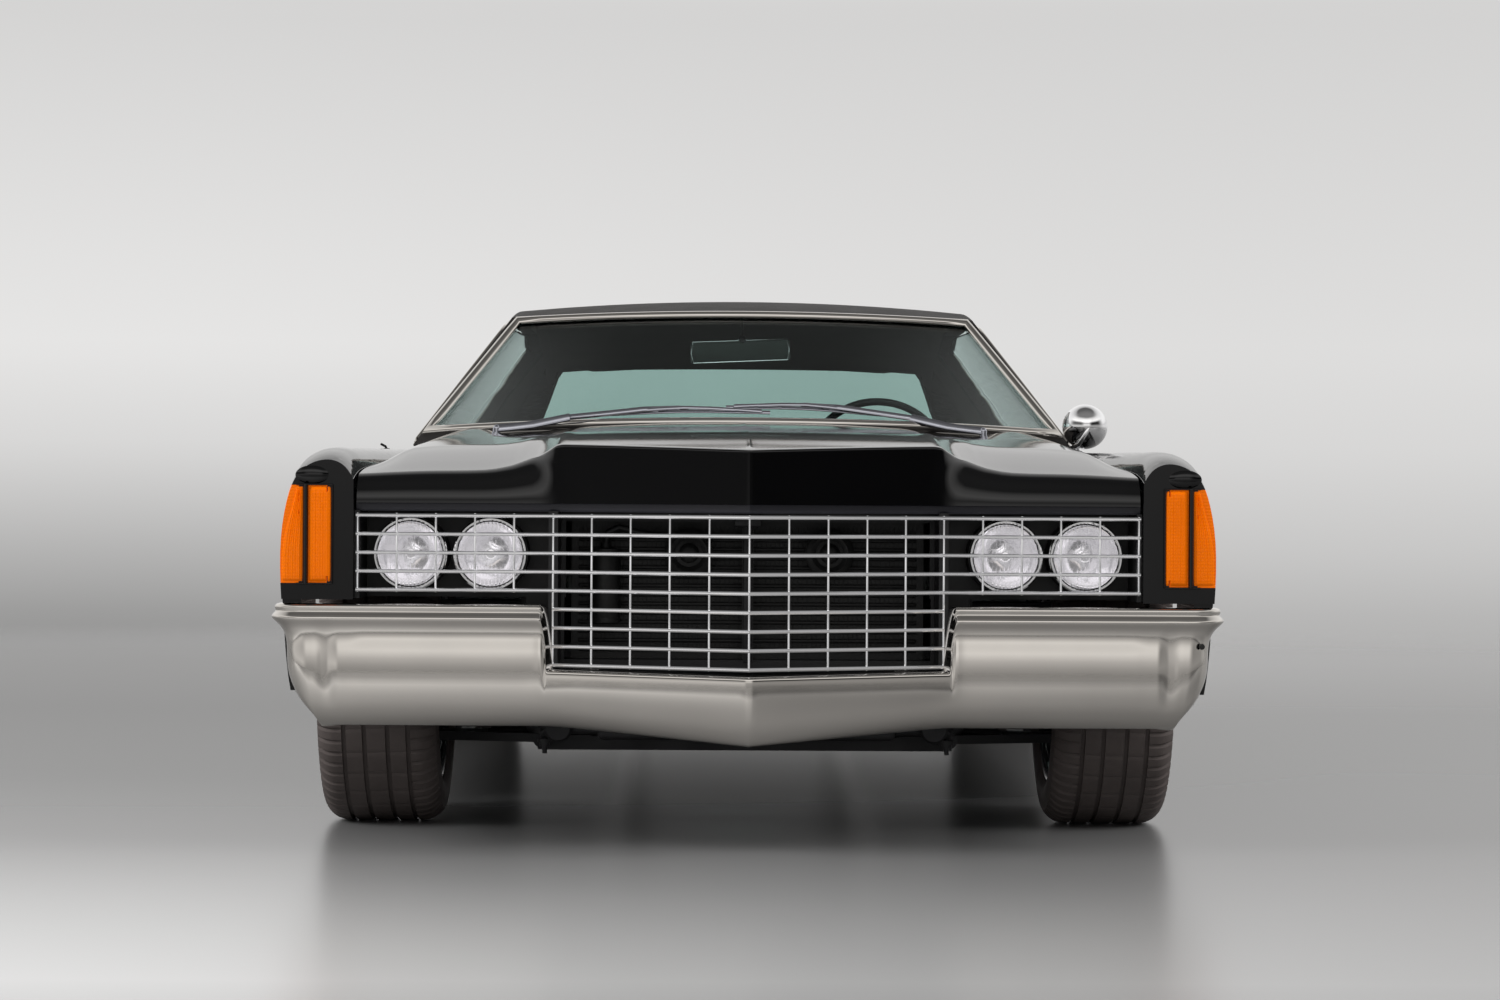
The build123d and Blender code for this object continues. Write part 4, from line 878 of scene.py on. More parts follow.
    def _floor(self) -> None:
        """Adds a studio floor, its greys painted light and shade, that fades into the cove."""
        Shop.clear()
        bpy.ops.mesh.primitive_circle_add(vertices=96, radius=self.floor_r, fill_type="NGON")
        floor = bpy.context.object
        floor.name = "floor"
        material = bpy.data.materials.new("studio_floor")
        material.use_nodes = True
        tree = material.node_tree
        place = tree.nodes.new("ShaderNodeTexCoord").outputs["Object"]
        split = add_node(tree, "SeparateXYZ", {"Vector": place})
        # left and right ramps of painted light and shade along the floor
        left, right = (self._ramp(tree, stops, split.outputs["Y"]) for stops in FLOOR_LIGHT_AND_SHADE)
        colour = self._mix(tree, split.outputs["X"], left, right, self.floor_blend)
        length = add_node(tree, "VectorMath", {0: place}, operation="LENGTH")
        fade = add_node(tree, "MapRange", {
            "From Min": self.floor_r * self.floor_fade[0],
            "From Max": self.floor_r * self.floor_fade[1],
            "Value": length.outputs["Value"]}, interpolation_type="SMOOTHSTEP")
        feed(tree, tree.nodes["Principled BSDF"], {
            "Roughness": self.floor_roughness, "Specular IOR Level": self.floor_specular,
            "Base Color": colour, "Alpha": fade.outputs["Result"]})
        floor.data.materials.append(material)

    def _lamps(self) -> None:
        """Hangs soft boxes above the car."""
        for name, spot, power in self.lamps:
            Shop.clear()
            bpy.ops.object.light_add(type="AREA", location=spot)
            lamp = bpy.context.object
            lamp.name = name
            lamp.data.shape = "RECTANGLE"
            lamp.data.size = lamp.data.size_y = self.lamp_size
            lamp.data.energy = power
            lamp.visible_glossy = False
            lamp.visible_transmission = False
            aim = Vector(self.lamp_aim) - Vector(spot)
            lamp.rotation_euler = aim.to_track_quat("-Z", "Y").to_euler()


# ---- front -------------------------------------------------------------------------------------
@dataclass
class FrontBumper:
    """Deep chrome bumper with a V in its middle, a crest line and stepped wings."""

    tip_y: float = -2.8020
    wing_y: float = -2.6240
    half: float = 1.013
    corner_r: float = 0.066
    back_y: float = -2.300
    v_half: float = 0.429
    bend: float = 0.050
    notch: Spot = (0.427, 0.437)
    wing_top: float = 0.525
    notch_top: float = 0.3880
    low: float = 0.264
    v_low: float = 0.232
    # how far the skin stands proud of the plan line, from the ledge down
    rows: Sequence[Spot] = (
        (-0.058, 0.5245), (-0.030, 0.525), (-0.014, 0.5245), (-0.007, 0.521), (-0.0045, 0.5155),
        (-0.0075, 0.5105), (-0.0075, 0.5065), (-0.002, 0.502), (0.003, 0.497), (0.0045, 0.4935),
        (0.003, 0.489), (-0.0008, 0.4825), (-0.0036, 0.476), (-0.0050, 0.469), (-0.0053, 0.461),
        (-0.0046, 0.451), (-0.0034, 0.440), (-0.0021, 0.428), (-0.0010, 0.415), (-0.0002, 0.401),
        (0.0001, 0.385), (-0.0002, 0.367), (-0.0012, 0.347), (-0.0034, 0.327), (-0.0082, 0.307),
        (-0.0162, 0.290), (-0.028, 0.2775), (-0.042, 0.2685), (-0.056, 0.264))
    # (height, how far the end tapers in)
    taper: Sequence[Spot] = ((0.264, 0.098), (0.313, 0.060), (0.367, 0.038), (0.451, 0.025),
                             (0.500, 0.0))
    taper_from: float = 0.80
    taper_run: float = 0.213
    taper_back: float = 0.006
    scallop: Point = (0.897, 0.392, 0.0052)
    scallop_half: Spot = (0.032, 0.116)
    panel_edge: float = 0.830
    panel_blend: float = 0.022
    panel_step: float = 0.0012
    panel_low: Spot = (0.286, 0.330)
    panel_high: Spot = (0.430, 0.490)
    sweep_back: float = 0.012
    wing_slope: float = 0.023
    end_lean: float = 0.006
    notch_floor: float = 0.345
    notch_rise: float = 0.005
    notch_round: float = 2.2
    notch_set: float = 0.002
    ledge_deep: float = 0.050
    ledge_end: float = 0.010
    notch_bulge: float = 0.012
    v_fade: float = 0.36
    # places where the wing is sampled, closer together beside the notch
    wing_x: Sequence[float] = (0.4255, 0.427, 0.4285, 0.430, 0.4325, 0.437, 0.444, 0.456, 0.475,
                               0.50, 0.53, 0.57, 0.61, 0.65, 0.69, 0.73, 0.765, 0.795, 0.81)

    def _plan(self) -> list[tuple[float, float, float, float]]:
        """Lists the left half in plan, from the middle outwards.

        Returns:
            Place and outward normal of each point.
        """
        wing_end = self.half - self.corner_r
        slope = (self.wing_y - self.tip_y) / self.v_half
        wing = [*self.wing_x] + spread(0.818, wing_end, 28)
        line = []
        for x in spread(0.0, self.v_half - 0.014, 22) + wing:
            inside = self.v_half - x
            share = min(1.0, max(0.0, (inside + self.bend) / (2 * self.bend)))
            ahead = inside if inside > self.bend else self.bend * share ** 2
            swept = self.sweep_back * max(0.0, -inside) / (wing_end - self.v_half)
            normal = Vector((slope * share + self.wing_slope * (1 - share), -1.0)).normalized()
            line.append((x, self.wing_y + swept - slope * ahead, normal.x, normal.y)
                        if x else (x, self.wing_y + swept - slope * ahead, 0.0, 1.0 / normal.y))
        start = self.wing_y + self.sweep_back
        facets = 8
        for k in range(1, facets + 1):
            a = math.pi / 2 * k / facets
            line.append((wing_end + math.sin(a) * self.corner_r,
                         start + self.corner_r * (1 - math.cos(a)), math.sin(a), -math.cos(a)))
        start += self.corner_r
        for k in range(1, facets + 1):
            line.append((self.half - self.end_lean * k / facets,
                         start + (self.back_y - start) * k / facets, 1.0, 0.0))
        return line

    def _corner(self, x: float, y: float, nx: float, ny: float, row: int) -> Point:
        """Places one corner of the skin.

        Args:
            x: Place of the plan point.
            y: Its other place.
            nx: Its outward normal.
            ny: The normal's other part.
            row: Row of the skin, from the ledge down.

        Returns:
            The skin's point.
        """
        proud, z = self.rows[row]
        far = abs(x)
        rise = soft_step(self.notch[0] - 0.0005, self.notch[1], far)
        if rise < 1 and z > self.notch_floor:
            top = self.notch_top - self.notch_rise * (1 - min(1.0, far / self.v_half))
            share = (z - self.notch_floor) / (self.wing_top - self.notch_floor)
            tall = top - self.notch_floor
            low_z = self.notch_floor + tall * (1 - (1 - share) ** self.notch_round)
            ledge = self.ledge_end if row < 1 else 0.0
            low_proud = -self.notch_set - self.ledge_deep * share ** 7 - ledge
            bulge = math.sin(math.pi * rise) * self.notch_bulge
            z = low_z + (z - low_z) * rise ** 0.8
            proud = low_proud + (proud - low_proud) * rise - bulge * share
        drop = (self.low - self.v_low) * max(0.0, 1 - far / self.v_half)
        z -= drop * (1 - soft_step(self.low, self.v_fade, z))
        inset = 0.0
        if far > self.taper_from:
            outwards = max(0.0, (far - self.taper_from) / self.taper_run) ** 2.5
            inset = follow(self.taper, z) * max(abs(nx) ** 1.5, outwards)
        if abs(ny) > 0.9:
            middle_x, middle_z, deep = self.scallop
            across = min(1.0, abs(far - middle_x) / self.scallop_half[0])
            along = min(1.0, abs(z - middle_z) / self.scallop_half[1])
            proud -= (deep * math.cos(math.pi / 2 * across) ** 2
                      * math.cos(math.pi / 2 * along) ** 1.5)
            level = soft_step(*self.panel_low, z) * (1 - soft_step(*self.panel_high, z))
            edge = soft_step(self.panel_edge - self.panel_blend, self.panel_edge + self.panel_blend,
                             far)
            proud -= self.panel_step * edge * level
        back = self.taper_back * inset / self.taper[0][1]
        return (x + nx * proud - math.copysign(inset, x), y + ny * proud + back, z)

    def build(self) -> None:
        """Builds the bumper's skin and its plug."""
        half = self._plan()
        line = [(-x, y, -nx, ny) for x, y, nx, ny in reversed(half[1:])] + half
        skin = Shop.lattice("front_bumper_skin", len(line), len(self.rows),
                            lambda c, r: self._corner(*line[c], r))
        Shop.modify(skin, "SOLIDIFY", thickness=0.0028, offset=-1.0)
        Shop.modify(skin, "SUBSURF", levels=1)
        Shop.dress(skin, CHROME, "body", "polished_chrome", ["front_bumper"], angle=50)
        plug = Shop.turned("front_bumper_plug",
                           ((0.0, 0.0), (0.0028, 0.0), (0.0022, 0.0052), (-0.003, 0.0066)),
                           (0.9600, -2.6085, 0.443), "Y", -1.0, 24)
        Shop.dress(plug, SOFT_RUBBER, "body", "rubber_tyre")


@dataclass
class Grille:
    """Wire grille of level bars and uprights, with a dark header above it."""

    cell: float = 0.083
    pitch: float = 0.0395
    top_z: float = 0.7115
    face_y: float = -2.578
    v_half: float = 0.415
    v_depth: float = 0.185
    bar_tall: float = 0.0078
    bar_deep: float = 0.0088
    upright_wide: float = 0.0046
    upright_deep: float = 0.0075
    # half width, height above the floor and height of the header
    header: Point = (0.834, 0.7330, 0.0240)

    def _y(self, x: float) -> float:
        """Front of the bars at a distance from the middle."""
        return self.face_y - max(0.0, self.v_depth * (1 - abs(x) / self.v_half))

    def _bar(self, name: str, half: float, z: float, tall: float, deep: float,
             behind: float = 0.0) -> Piece:
        """Builds one level bar, bent along the nose.

        Args:
            name: Piece name.
            half: Its half width.
            z: Its height above the floor.
            tall: Height of its section.
            deep: Depth of its section.
            behind: How far it lies behind the grille's face.

        Returns:
            The bar.
        """
        wide = half > self.v_half
        spots = [-half, -self.v_half, 0.0, self.v_half, half] if wide else [-half, 0.0, half]
        path = [(x, self._y(x) + deep / 2 + behind, z) for x in spots]
        return Shop.bar(name, path, AHEAD, tall, deep, 10)

    def build(self) -> None:
        """Builds the bars, the uprights and the header."""
        bars = []
        for i in range(9):
            half = self.cell * 10 + 0.003 if i < 5 else self.v_half
            bars.append(self._bar("bar", half, self.top_z - i * self.pitch, self.bar_tall,
                                  self.bar_deep))
        pins = []
        wide, past = self.upright_wide / 2, 0.005
        for k in range(-10, 11):
            x = k * self.cell
            rows = 8 if abs(k) <= 5 else 4
            y = self._y(x) + 0.0065
            foot = self.top_z - rows * self.pitch - past
            pins.append(Shop.brick("upright", (x - wide, y, foot),
                                   (x + wide, y + self.upright_deep, self.top_z + past), 0.0016, 2))
        # bars and uprights in grille chrome, whose glow is a painted highlight
        Shop.dress(Shop.join("grille_mesh", bars + pins), GLOWING_GRILLE_CHROME, "body", "polished_chrome",
                   ["grille"])
        top = self._bar("grille_header", self.header[0], self.header[1], self.header[2], 0.004,
                        0.022)
        Shop.dress(top, HEADER_METAL, "body", "black_structure")


@dataclass
class Headlamps:
    """Four round sealed beams behind the grille."""

    spots: Sequence[float] = (-0.725, -0.553, 0.553, 0.725)
    y: float = -2.494
    z: float = 0.629
    r: float = 0.0725

    def build(self) -> None:
        """Builds lens, reflector, shield and ring for each lamp."""
        lenses, bowls, rings, shields = [], [], [], []
        bulge = 262  # radius of the lens face, in millimetres
        dome = [(0.012 - (bulge - math.sqrt(bulge ** 2 - (r * 1000) ** 2)) / 1000, r)
                for r in spread(0.0, self.r, 9)]
        inner = [(a - 0.004, r * 0.95) for a, r in reversed(dome)]
        bowl = ((-0.003, 0.0705), (-0.012, 0.066), (-0.024, 0.057), (-0.036, 0.044),
                (-0.046, 0.028), (-0.051, 0.012), (-0.052, 0.0))
        shield = ((-0.050, 0.0), (-0.050, 0.007), (-0.026, 0.007), (-0.020, 0.0115),
                  (-0.017, 0.0095), (-0.016, 0.0))
        ring = ((0.001, 0.0712), (0.0035, 0.0735), (0.0035, 0.0765), (0.0005, 0.0795),
                (-0.010, 0.0802), (-0.010, 0.0728), (0.001, 0.0712))
        for x in self.spots:
            at = (x, self.y, self.z)
            lenses.append(Shop.turned("lens", dome + inner, at, "Y", -1.0, 64))
            bowls.append(Shop.turned("bowl", bowl, at, "Y", -1.0, 48))
            shields.append(Shop.turned("shield", shield, at, "Y", -1.0, 24))
            rings.append(Shop.turned("ring", ring, at, "Y", -1.0, 64))
        Shop.dress(Shop.join("headlamp_glass", lenses), LAMP_GLASS, "body", "clear_glass",
                   ["headlamp_lenses"])
        Shop.dress(Shop.join("headlamp_reflectors", bowls + shields), SILVERED, "body",
                   "polished_chrome")
        Shop.dress(Shop.join("headlamp_rings", rings), BRIGHT_CHROME, "body", "polished_chrome")


# ---- wheels ------------------------------------------------------------------------------------
@dataclass
class Tyre:
    """Low tyre with four grooves, shoulder blocks and sipes."""

    blocks: int = 72
    phases: int = 5
    sipe_twist: float = 0.10
    grooves: Sequence[float] = (-0.072, -0.026, 0.026, 0.072)
    groove_deep: float = 0.0065

    def _profile(self) -> list[tuple[float, float, str]]:
        """Lists the section from the outer bead over the tread to the inner one and back.

        Returns:
            Axial place, radius and kind of each corner.
        """
        side = [(0.1132, 0.2383, "wall"), (0.1135, 0.2525, "wall"), (0.126, 0.257, "wall"),
                (0.1330, 0.266, "wall"), (0.1366, 0.278, "wall"), (0.1373, 0.290, "wall"),
                (0.1358, 0.303, "wall"), (0.1325, 0.316, "wall"), (0.1335, 0.321, "rib"),
                (0.1285, 0.330, "edge"), (0.1225, 0.3365, "edge"), (0.1165, 0.3415, "edge"),
                (0.108, 0.3462, "edge"), (0.099, 0.3488, "edge"), (0.090, 0.3495, "edge")]
        tread = []
        for g in reversed(self.grooves):
            tread += [(g + 0.0052, 0.35, "land"), (g + 0.0040, 0.35 - self.groove_deep, "floor"),
                      (g - 0.0040, 0.35 - self.groove_deep, "floor"), (g - 0.0052, 0.35, "land")]
            tread.append((g - 0.023, 0.35, "land"))
        left = [(-a, r, k) for a, r, k in reversed(side)]
        inner = [(-0.09, 0.2388, "in"), (-0.04, 0.2392, "in"), (0.04, 0.2392, "in"),
                 (0.09, 0.2388, "in")]
        return side + tread[:-1] + left + inner

    def build(self, name: str, x: float, y: float, body: str, node: str) -> None:
        """Builds one tyre.

        Args:
            name: Piece name.
            x: Place of its centre plane.
            y: Place of its axle.
            body: CAD body that it rides on.
            node: CAD node that it replaces.
        """
        profile = self._profile()
        profile.append(profile[0])
        steps = self.blocks * self.phases
        out = 1.0 if x > 0 else -1.0

        def spot(column: int, row: int) -> Point:
            """Finds a point of the tyre's skin.

            Args:
                column: Place across the tread.
                row: Place round the tyre.

            Returns:
                The point.
            """
            a, r, kind = profile[column]
            sipe = row % self.phases == 0
            if kind == "edge" and sipe:
                r -= 0.0042
                a -= math.copysign(0.0026, a)
            elif kind == "land" and row % (2 * self.phases) == 0:
                r -= 0.0016
            elif kind == "rib" and sipe:
                a -= math.copysign(0.0012, a)
            angle = 2 * math.pi * row / steps + self.sipe_twist * a
            return (x + a * out, y + math.cos(angle) * r, TYRE_R + math.sin(angle) * r)

        piece = Shop.lattice(name, len(profile), steps + 1, spot)
        Shop.dress(piece, TYRE_RUBBER, body, "rubber_tyre", [node], angle=24)


@dataclass
class Wheel:
    """Cast wheel with ten forked spokes, a turned rim, nuts and a brake disc."""

    spokes: int = 10
    rim_in: float = 0.225
    face: float = 0.068
    nuts: int = 5
    nut_circle: float = 0.0475
    rim: Sequence[Spot] = ((0.1235, 0.252), (0.1215, 0.2505), (0.1150, 0.2470), (0.1135, 0.2390),
                           (0.1125, 0.2310), (0.1040, 0.2265), (0.0900, 0.2245), (0.0600, 0.2262),
                           (-0.1100, 0.2275), (-0.1190, 0.236), (-0.1235, 0.252), (-0.1135, 0.252),
                           (-0.1135, 0.2382), (0.1135, 0.2382), (0.1138, 0.252), (0.1235, 0.252))
    hub: Sequence[Spot] = ((0.094, 0.0), (0.094, 0.026), (0.0915, 0.030), (0.084, 0.031),
                           (0.083, 0.060), (0.080, 0.074), (0.070, 0.080), (0.056, 0.080),
                           (0.056, 0.027), (0.0645, 0.0))
    cap: Sequence[Spot] = ((0.0975, 0.0), (0.0970, 0.018), (0.0950, 0.0262), (0.090, 0.0285))
    nut: Sequence[Spot] = ((0.094, 0.0), (0.094, 0.006), (0.091, 0.0085), (0.080, 0.0095),
                           (0.080, 0.0))
    disc: Sequence[Spot] = ((0.030, 0.085), (0.030, 0.159), (0.028, 0.160), (0.012, 0.160),
                            (0.0085, 0.159), (0.0085, 0.028), (0.056, 0.028), (0.056, 0.080),
                            (0.032, 0.083), (0.030, 0.085))

    def build(self, name: str, x: float, y: float, body: str, node: str) -> None:
        """Builds one wheel with its nuts and its brake disc.

        Args:
            name: Piece name.
            x: Place of its centre plane.
            y: Place of its axle.
            body: CAD body that it rides on.
            node: CAD node that it replaces.
        """
        at = (x, y, TYRE_R)
        out = 1.0 if x > 0 else -1.0
        parts = [Shop.turned("rim", self.rim, at, "X", out, 96),
                 Shop.turned("hub", self.hub, at, "X", out, 60)]
        half = [(0.060, 0.021), (0.075, 0.0165), (0.130, 0.0125), (0.190, 0.0165), (0.2285, 0.030),
                (0.2285, 0.018), (0.196, 0.0045)]
        outline = [(a, -b) for a, b in half] + [(0.150, 0.0)] + half[::-1]
        blade = Shop.slab("spoke", [(0.0, b, a) for a, b in outline], (0.020, 0.0, 0.0))
        Shop.modify(blade, "BEVEL", width=0.0022, segments=2, limit_method="ANGLE", angle_limit=0.6)
        for corner in blade.data.vertices:
            reach = math.hypot(corner.co.y, corner.co.z)
            bowl = 0.012 * math.cos(min(1.0, reach / self.rim_in) * math.pi)
            dish = self.face + bowl - 0.003 * soft_step(0.2, self.rim_in, reach)
            corner.co.x = (corner.co.x + dish) * out
        for k in range(self.spokes):
            turn = Matrix.Rotation(2 * math.pi * (k + 0.5) / self.spokes, 4, "X")
            parts.append(Shop.copy(blade, "spoke", Matrix.Translation(at) @ turn))
        bpy.data.objects.remove(blade)
        face = Shop.mend(Shop.join(name, parts))
        Shop.dress(face, WHEEL_ALLOY, body, "wheel_metal", [node], angle=32)
        nuts = [Shop.turned("cap", self.cap, at, "X", out, 40)]
        for k in range(self.nuts):
            a = 2 * math.pi * (k + 0.25) / self.nuts
            seat = (x, y + math.cos(a) * self.nut_circle, TYRE_R + math.sin(a) * self.nut_circle)
            nuts.append(Shop.turned("nut", self.nut, seat, "X", out, 6))
        Shop.dress(Shop.join(name + "_nuts", nuts), BRIGHT_CHROME, body, "wheel_metal", angle=40)
        disc = Shop.turned(name + "_disc", self.disc, at, "X", out, 72)
        Shop.dress(disc, BARE_STEEL, body, "bare_steel", angle=40)


class Running:
    """All four wheels with their tyres."""

    @staticmethod
    def build() -> None:
        """Builds the four corners."""
        for end, y in (("front", FRONT_AXLE_Y), ("rear", REAR_AXLE_Y)):
            for side, word in SIDES:
                x, corner = WHEEL_X * side, f"{end}_{word}"
                body = "wheel_" + corner
                Wheel().build("alloy_" + corner, x, y, body, body)
                Tyre().build("tread_" + corner, x, y, body, "tyre_" + corner)


# ---- body trim ---------------------------------------------------------------------------------
@dataclass
class CornerLamps:
    """Upright amber lamps in the fender tips: two swollen lenses a side in a glossy case."""

    low: float = 0.5700
    high: float = 0.7720
    inner: Spot = (0.8840, 0.9310)
    outer: Spot = (0.9430, 0.9900)
    outer_reach: float = 0.9880
    outer_lean: float = 0.034
    past: float = 0.004
    face_y: float = -2.5905

    def _lens(self, skin: Skin, side: float, edges: Spot, swell: float) -> Piece:
        """Lays one lens over its opening, swollen forward and ribbed.

        Args:
            skin: Surface with the opening.
            side: 1 on the left, -1 on the right.
            edges: Inner and outer edge of the lens.
            swell: How far it stands proud.

        Returns:
            The lens.
        """
        columns, rows = 25, 49

        def spot(column: int, row: int) -> Point:
            """Finds a point of the lens face.

            Args:
                column: Place across the lens.
                row: Place up the lens.

            Returns:
                The point.
            """
            u, v = -1 + 2 * column / (columns - 1), -1 + 2 * row / (rows - 1)
            z = (self.low + self.high) / 2 + v * (self.high - self.low) / 2
            reach = edges[1]
            if edges is self.outer:
                reach = self.outer_reach - self.outer_lean * soft_step(0.60, 0.80, z) ** 1.4
            x = (edges[0] + reach) / 2 + u * (reach - edges[0]) / 2 * (1 - 0.05 * abs(v) ** 14)
            place, _ = skin.cast((x * side, -3.0, z), BACK)
            y = self.face_y if place is None else max(place.y, self.face_y - 0.002)
            y = min(y, self.face_y + 0.034)
            rise = (1 - abs(u) ** 5) ** 0.6 * (1 - abs(v) ** 22) ** 0.6
            groove = 0.0007 * math.cos(2 * math.pi * u * 4.5) * rise
            return (x * side, y - swell * rise + 0.001 - groove, z)

        return Shop.lattice("lens", columns, rows, spot)

    def build(self) -> None:
        """Builds the lenses, the case edges and the domed caps on both sides."""
        skin = Skin("fender_left", "fender_right", "corner_lamps")
        lenses, edges = [], []
        for side, _ in SIDES:
            for span, swell in ((self.inner, 0.0085), (self.outer, 0.0060)):
                lens = self._lens(skin, side, span, swell)
                lenses.append(Shop.modify(lens, "SOLIDIFY", thickness=0.002, offset=-1.0))
            heights = spread(self.low - self.past, self.high + self.past, 9)
            xs = (self.inner[0] - 0.003, self.inner[1] + 0.003)
            for x in xs:
                path = [(x * side, self.face_y - 0.001, z) for z in heights]
                edges.append(Shop.bar("edge", path, AHEAD, 0.0042, 0.007, 10))
            for z in (heights[0], heights[-1]):
                path = [(x * side, self.face_y - 0.001, z) for x in spread(xs[0], 0.958, 7)]
                edges.append(Shop.bar("edge", path, AHEAD, 0.0040, 0.006, 10))
            cap = Shop.turned("cap",
                              ((0.0085, 0.0), (0.0080, 0.006), (0.0062, 0.012), (0.0030, 0.017),
                               (-0.001, 0.0195)), (0.0, 0.0, 0.0), "Y", -1.0, 48)
            cap.data.transform(Matrix.Translation((0.9240 * side, self.face_y + 0.001, 0.7960))
                               @ Matrix.Diagonal((1.85, 1.0, 1.05, 1.0)))
            edges.append(cap)
            rib = [(0.9370 * side, self.face_y - 0.004, z) for z in heights]
            edges.append(Shop.bar("rib", rib, AHEAD, 0.0085, 0.012, 12))
        Shop.dress(Shop.join("corner_lamp_lenses", lenses), AMBER, "body", "amber_lens", angle=50)
        Shop.dress(Shop.join("corner_lamp_cases", edges), BLACK_PAINT, "body", "black_paint",
                   angle=50)


@dataclass
class GlassTrim:
    """Bright mouldings round the windshield, the backlight and the side windows."""

    shield: Sequence[Spot] = ((0.838, 0.929), (0.621, 1.2405))
    shield_mid: Spot = (0.953, 1.256)
    back: Sequence[Spot] = ((0.646, 0.962), (0.561, 1.1515))
    back_mid: Spot = (0.979, 1.163)
    width: float = 0.027

    def _loop(self, corners: Sequence[Spot], mids: Spot, way: float,
              start: float) -> list[tuple[Point, Point]]:
        """Aims rays at an arched window opening, all the way round.

        Args:
            corners: Lower and upper corner of the right half.
            mids: Heights of the lower and the upper edge in the middle.
            way: Direction of the rays along the car.
            start: Where they start.

        Returns:
            Start and way of each ray.
        """
        (bx, bz), (tx, tz) = corners
        rays = [(x, bz + (mids[0] - bz) * (1 - (x / bx) ** 2)) for x in spread(-bx, bx, 25)]
        rise = [(bx + (tx - bx) * t, bz + (tz - bz) * t) for t in spread(0.0, 1.0, 13)[1:-1]]
        rays += rise
        rays += [(x, tz + (mids[1] - tz) * (1 - (x / tx) ** 2)) for x in spread(tx, -tx, 21)]
        rays += [(-x, z) for x, z in reversed(rise)]
        return [((x, start, z), (0.0, way, 0.0)) for x, z in rays]

    def build(self) -> None:
        """Builds every moulding."""
        front = Skin("roof_panel", "windshield", "firewall")
        ring = front.molding("windshield_trim", self._loop(self.shield, self.shield_mid, 1.0, -2.0),
                             self.width, 0.0105, True)
        Shop.dress(ring, CHROME, "body", "polished_chrome", angle=50)
        rear = Skin("roof_panel", "backlight", "rear_deck")
        ring = rear.molding("backlight_trim", self._loop(self.back, self.back_mid, -1.0, 2.4),
                            0.016, 0.005, True)
        Shop.dress(ring, CHROME, "body", "polished_chrome", angle=50)
        self._sides()

    def _sides(self) -> None:
        """Builds the drip rails and the mouldings round the side windows."""
        roof = Skin("roof_panel")
        points = [(-0.668, 0.886), (-0.648, 0.905), (-0.44, 1.083), (-0.250, 1.222), (-0.16, 1.239),
                  (-0.04, 1.248), (0.15, 1.254), (0.40, 1.244), (0.60, 1.212), (0.648, 1.196),
                  (0.69, 1.105), (0.735, 0.99), (0.778, 0.895)]
        pieces = []
        for side, _ in SIDES:
            dense = []
            for (y0, z0), (y1, z1) in zip(points, points[1:]):
                count = max(2, int(math.hypot(y1 - y0, z1 - z0) / 0.04) + 1)
                dense += [(y0 + (y1 - y0) * i / count, z0 + (z1 - z0) * i / count)
                          for i in range(count)]
            dense.append(points[-1])
            casts = [((1.2 * side, y, z), (-side, 0.0, 0.0)) for y, z in dense]
            pieces.append(roof.molding("drip", casts, 0.013, 0.007))
        Shop.dress(Shop.join("side_window_trim", pieces), CHROME, "body", "polished_chrome",
                   angle=50)


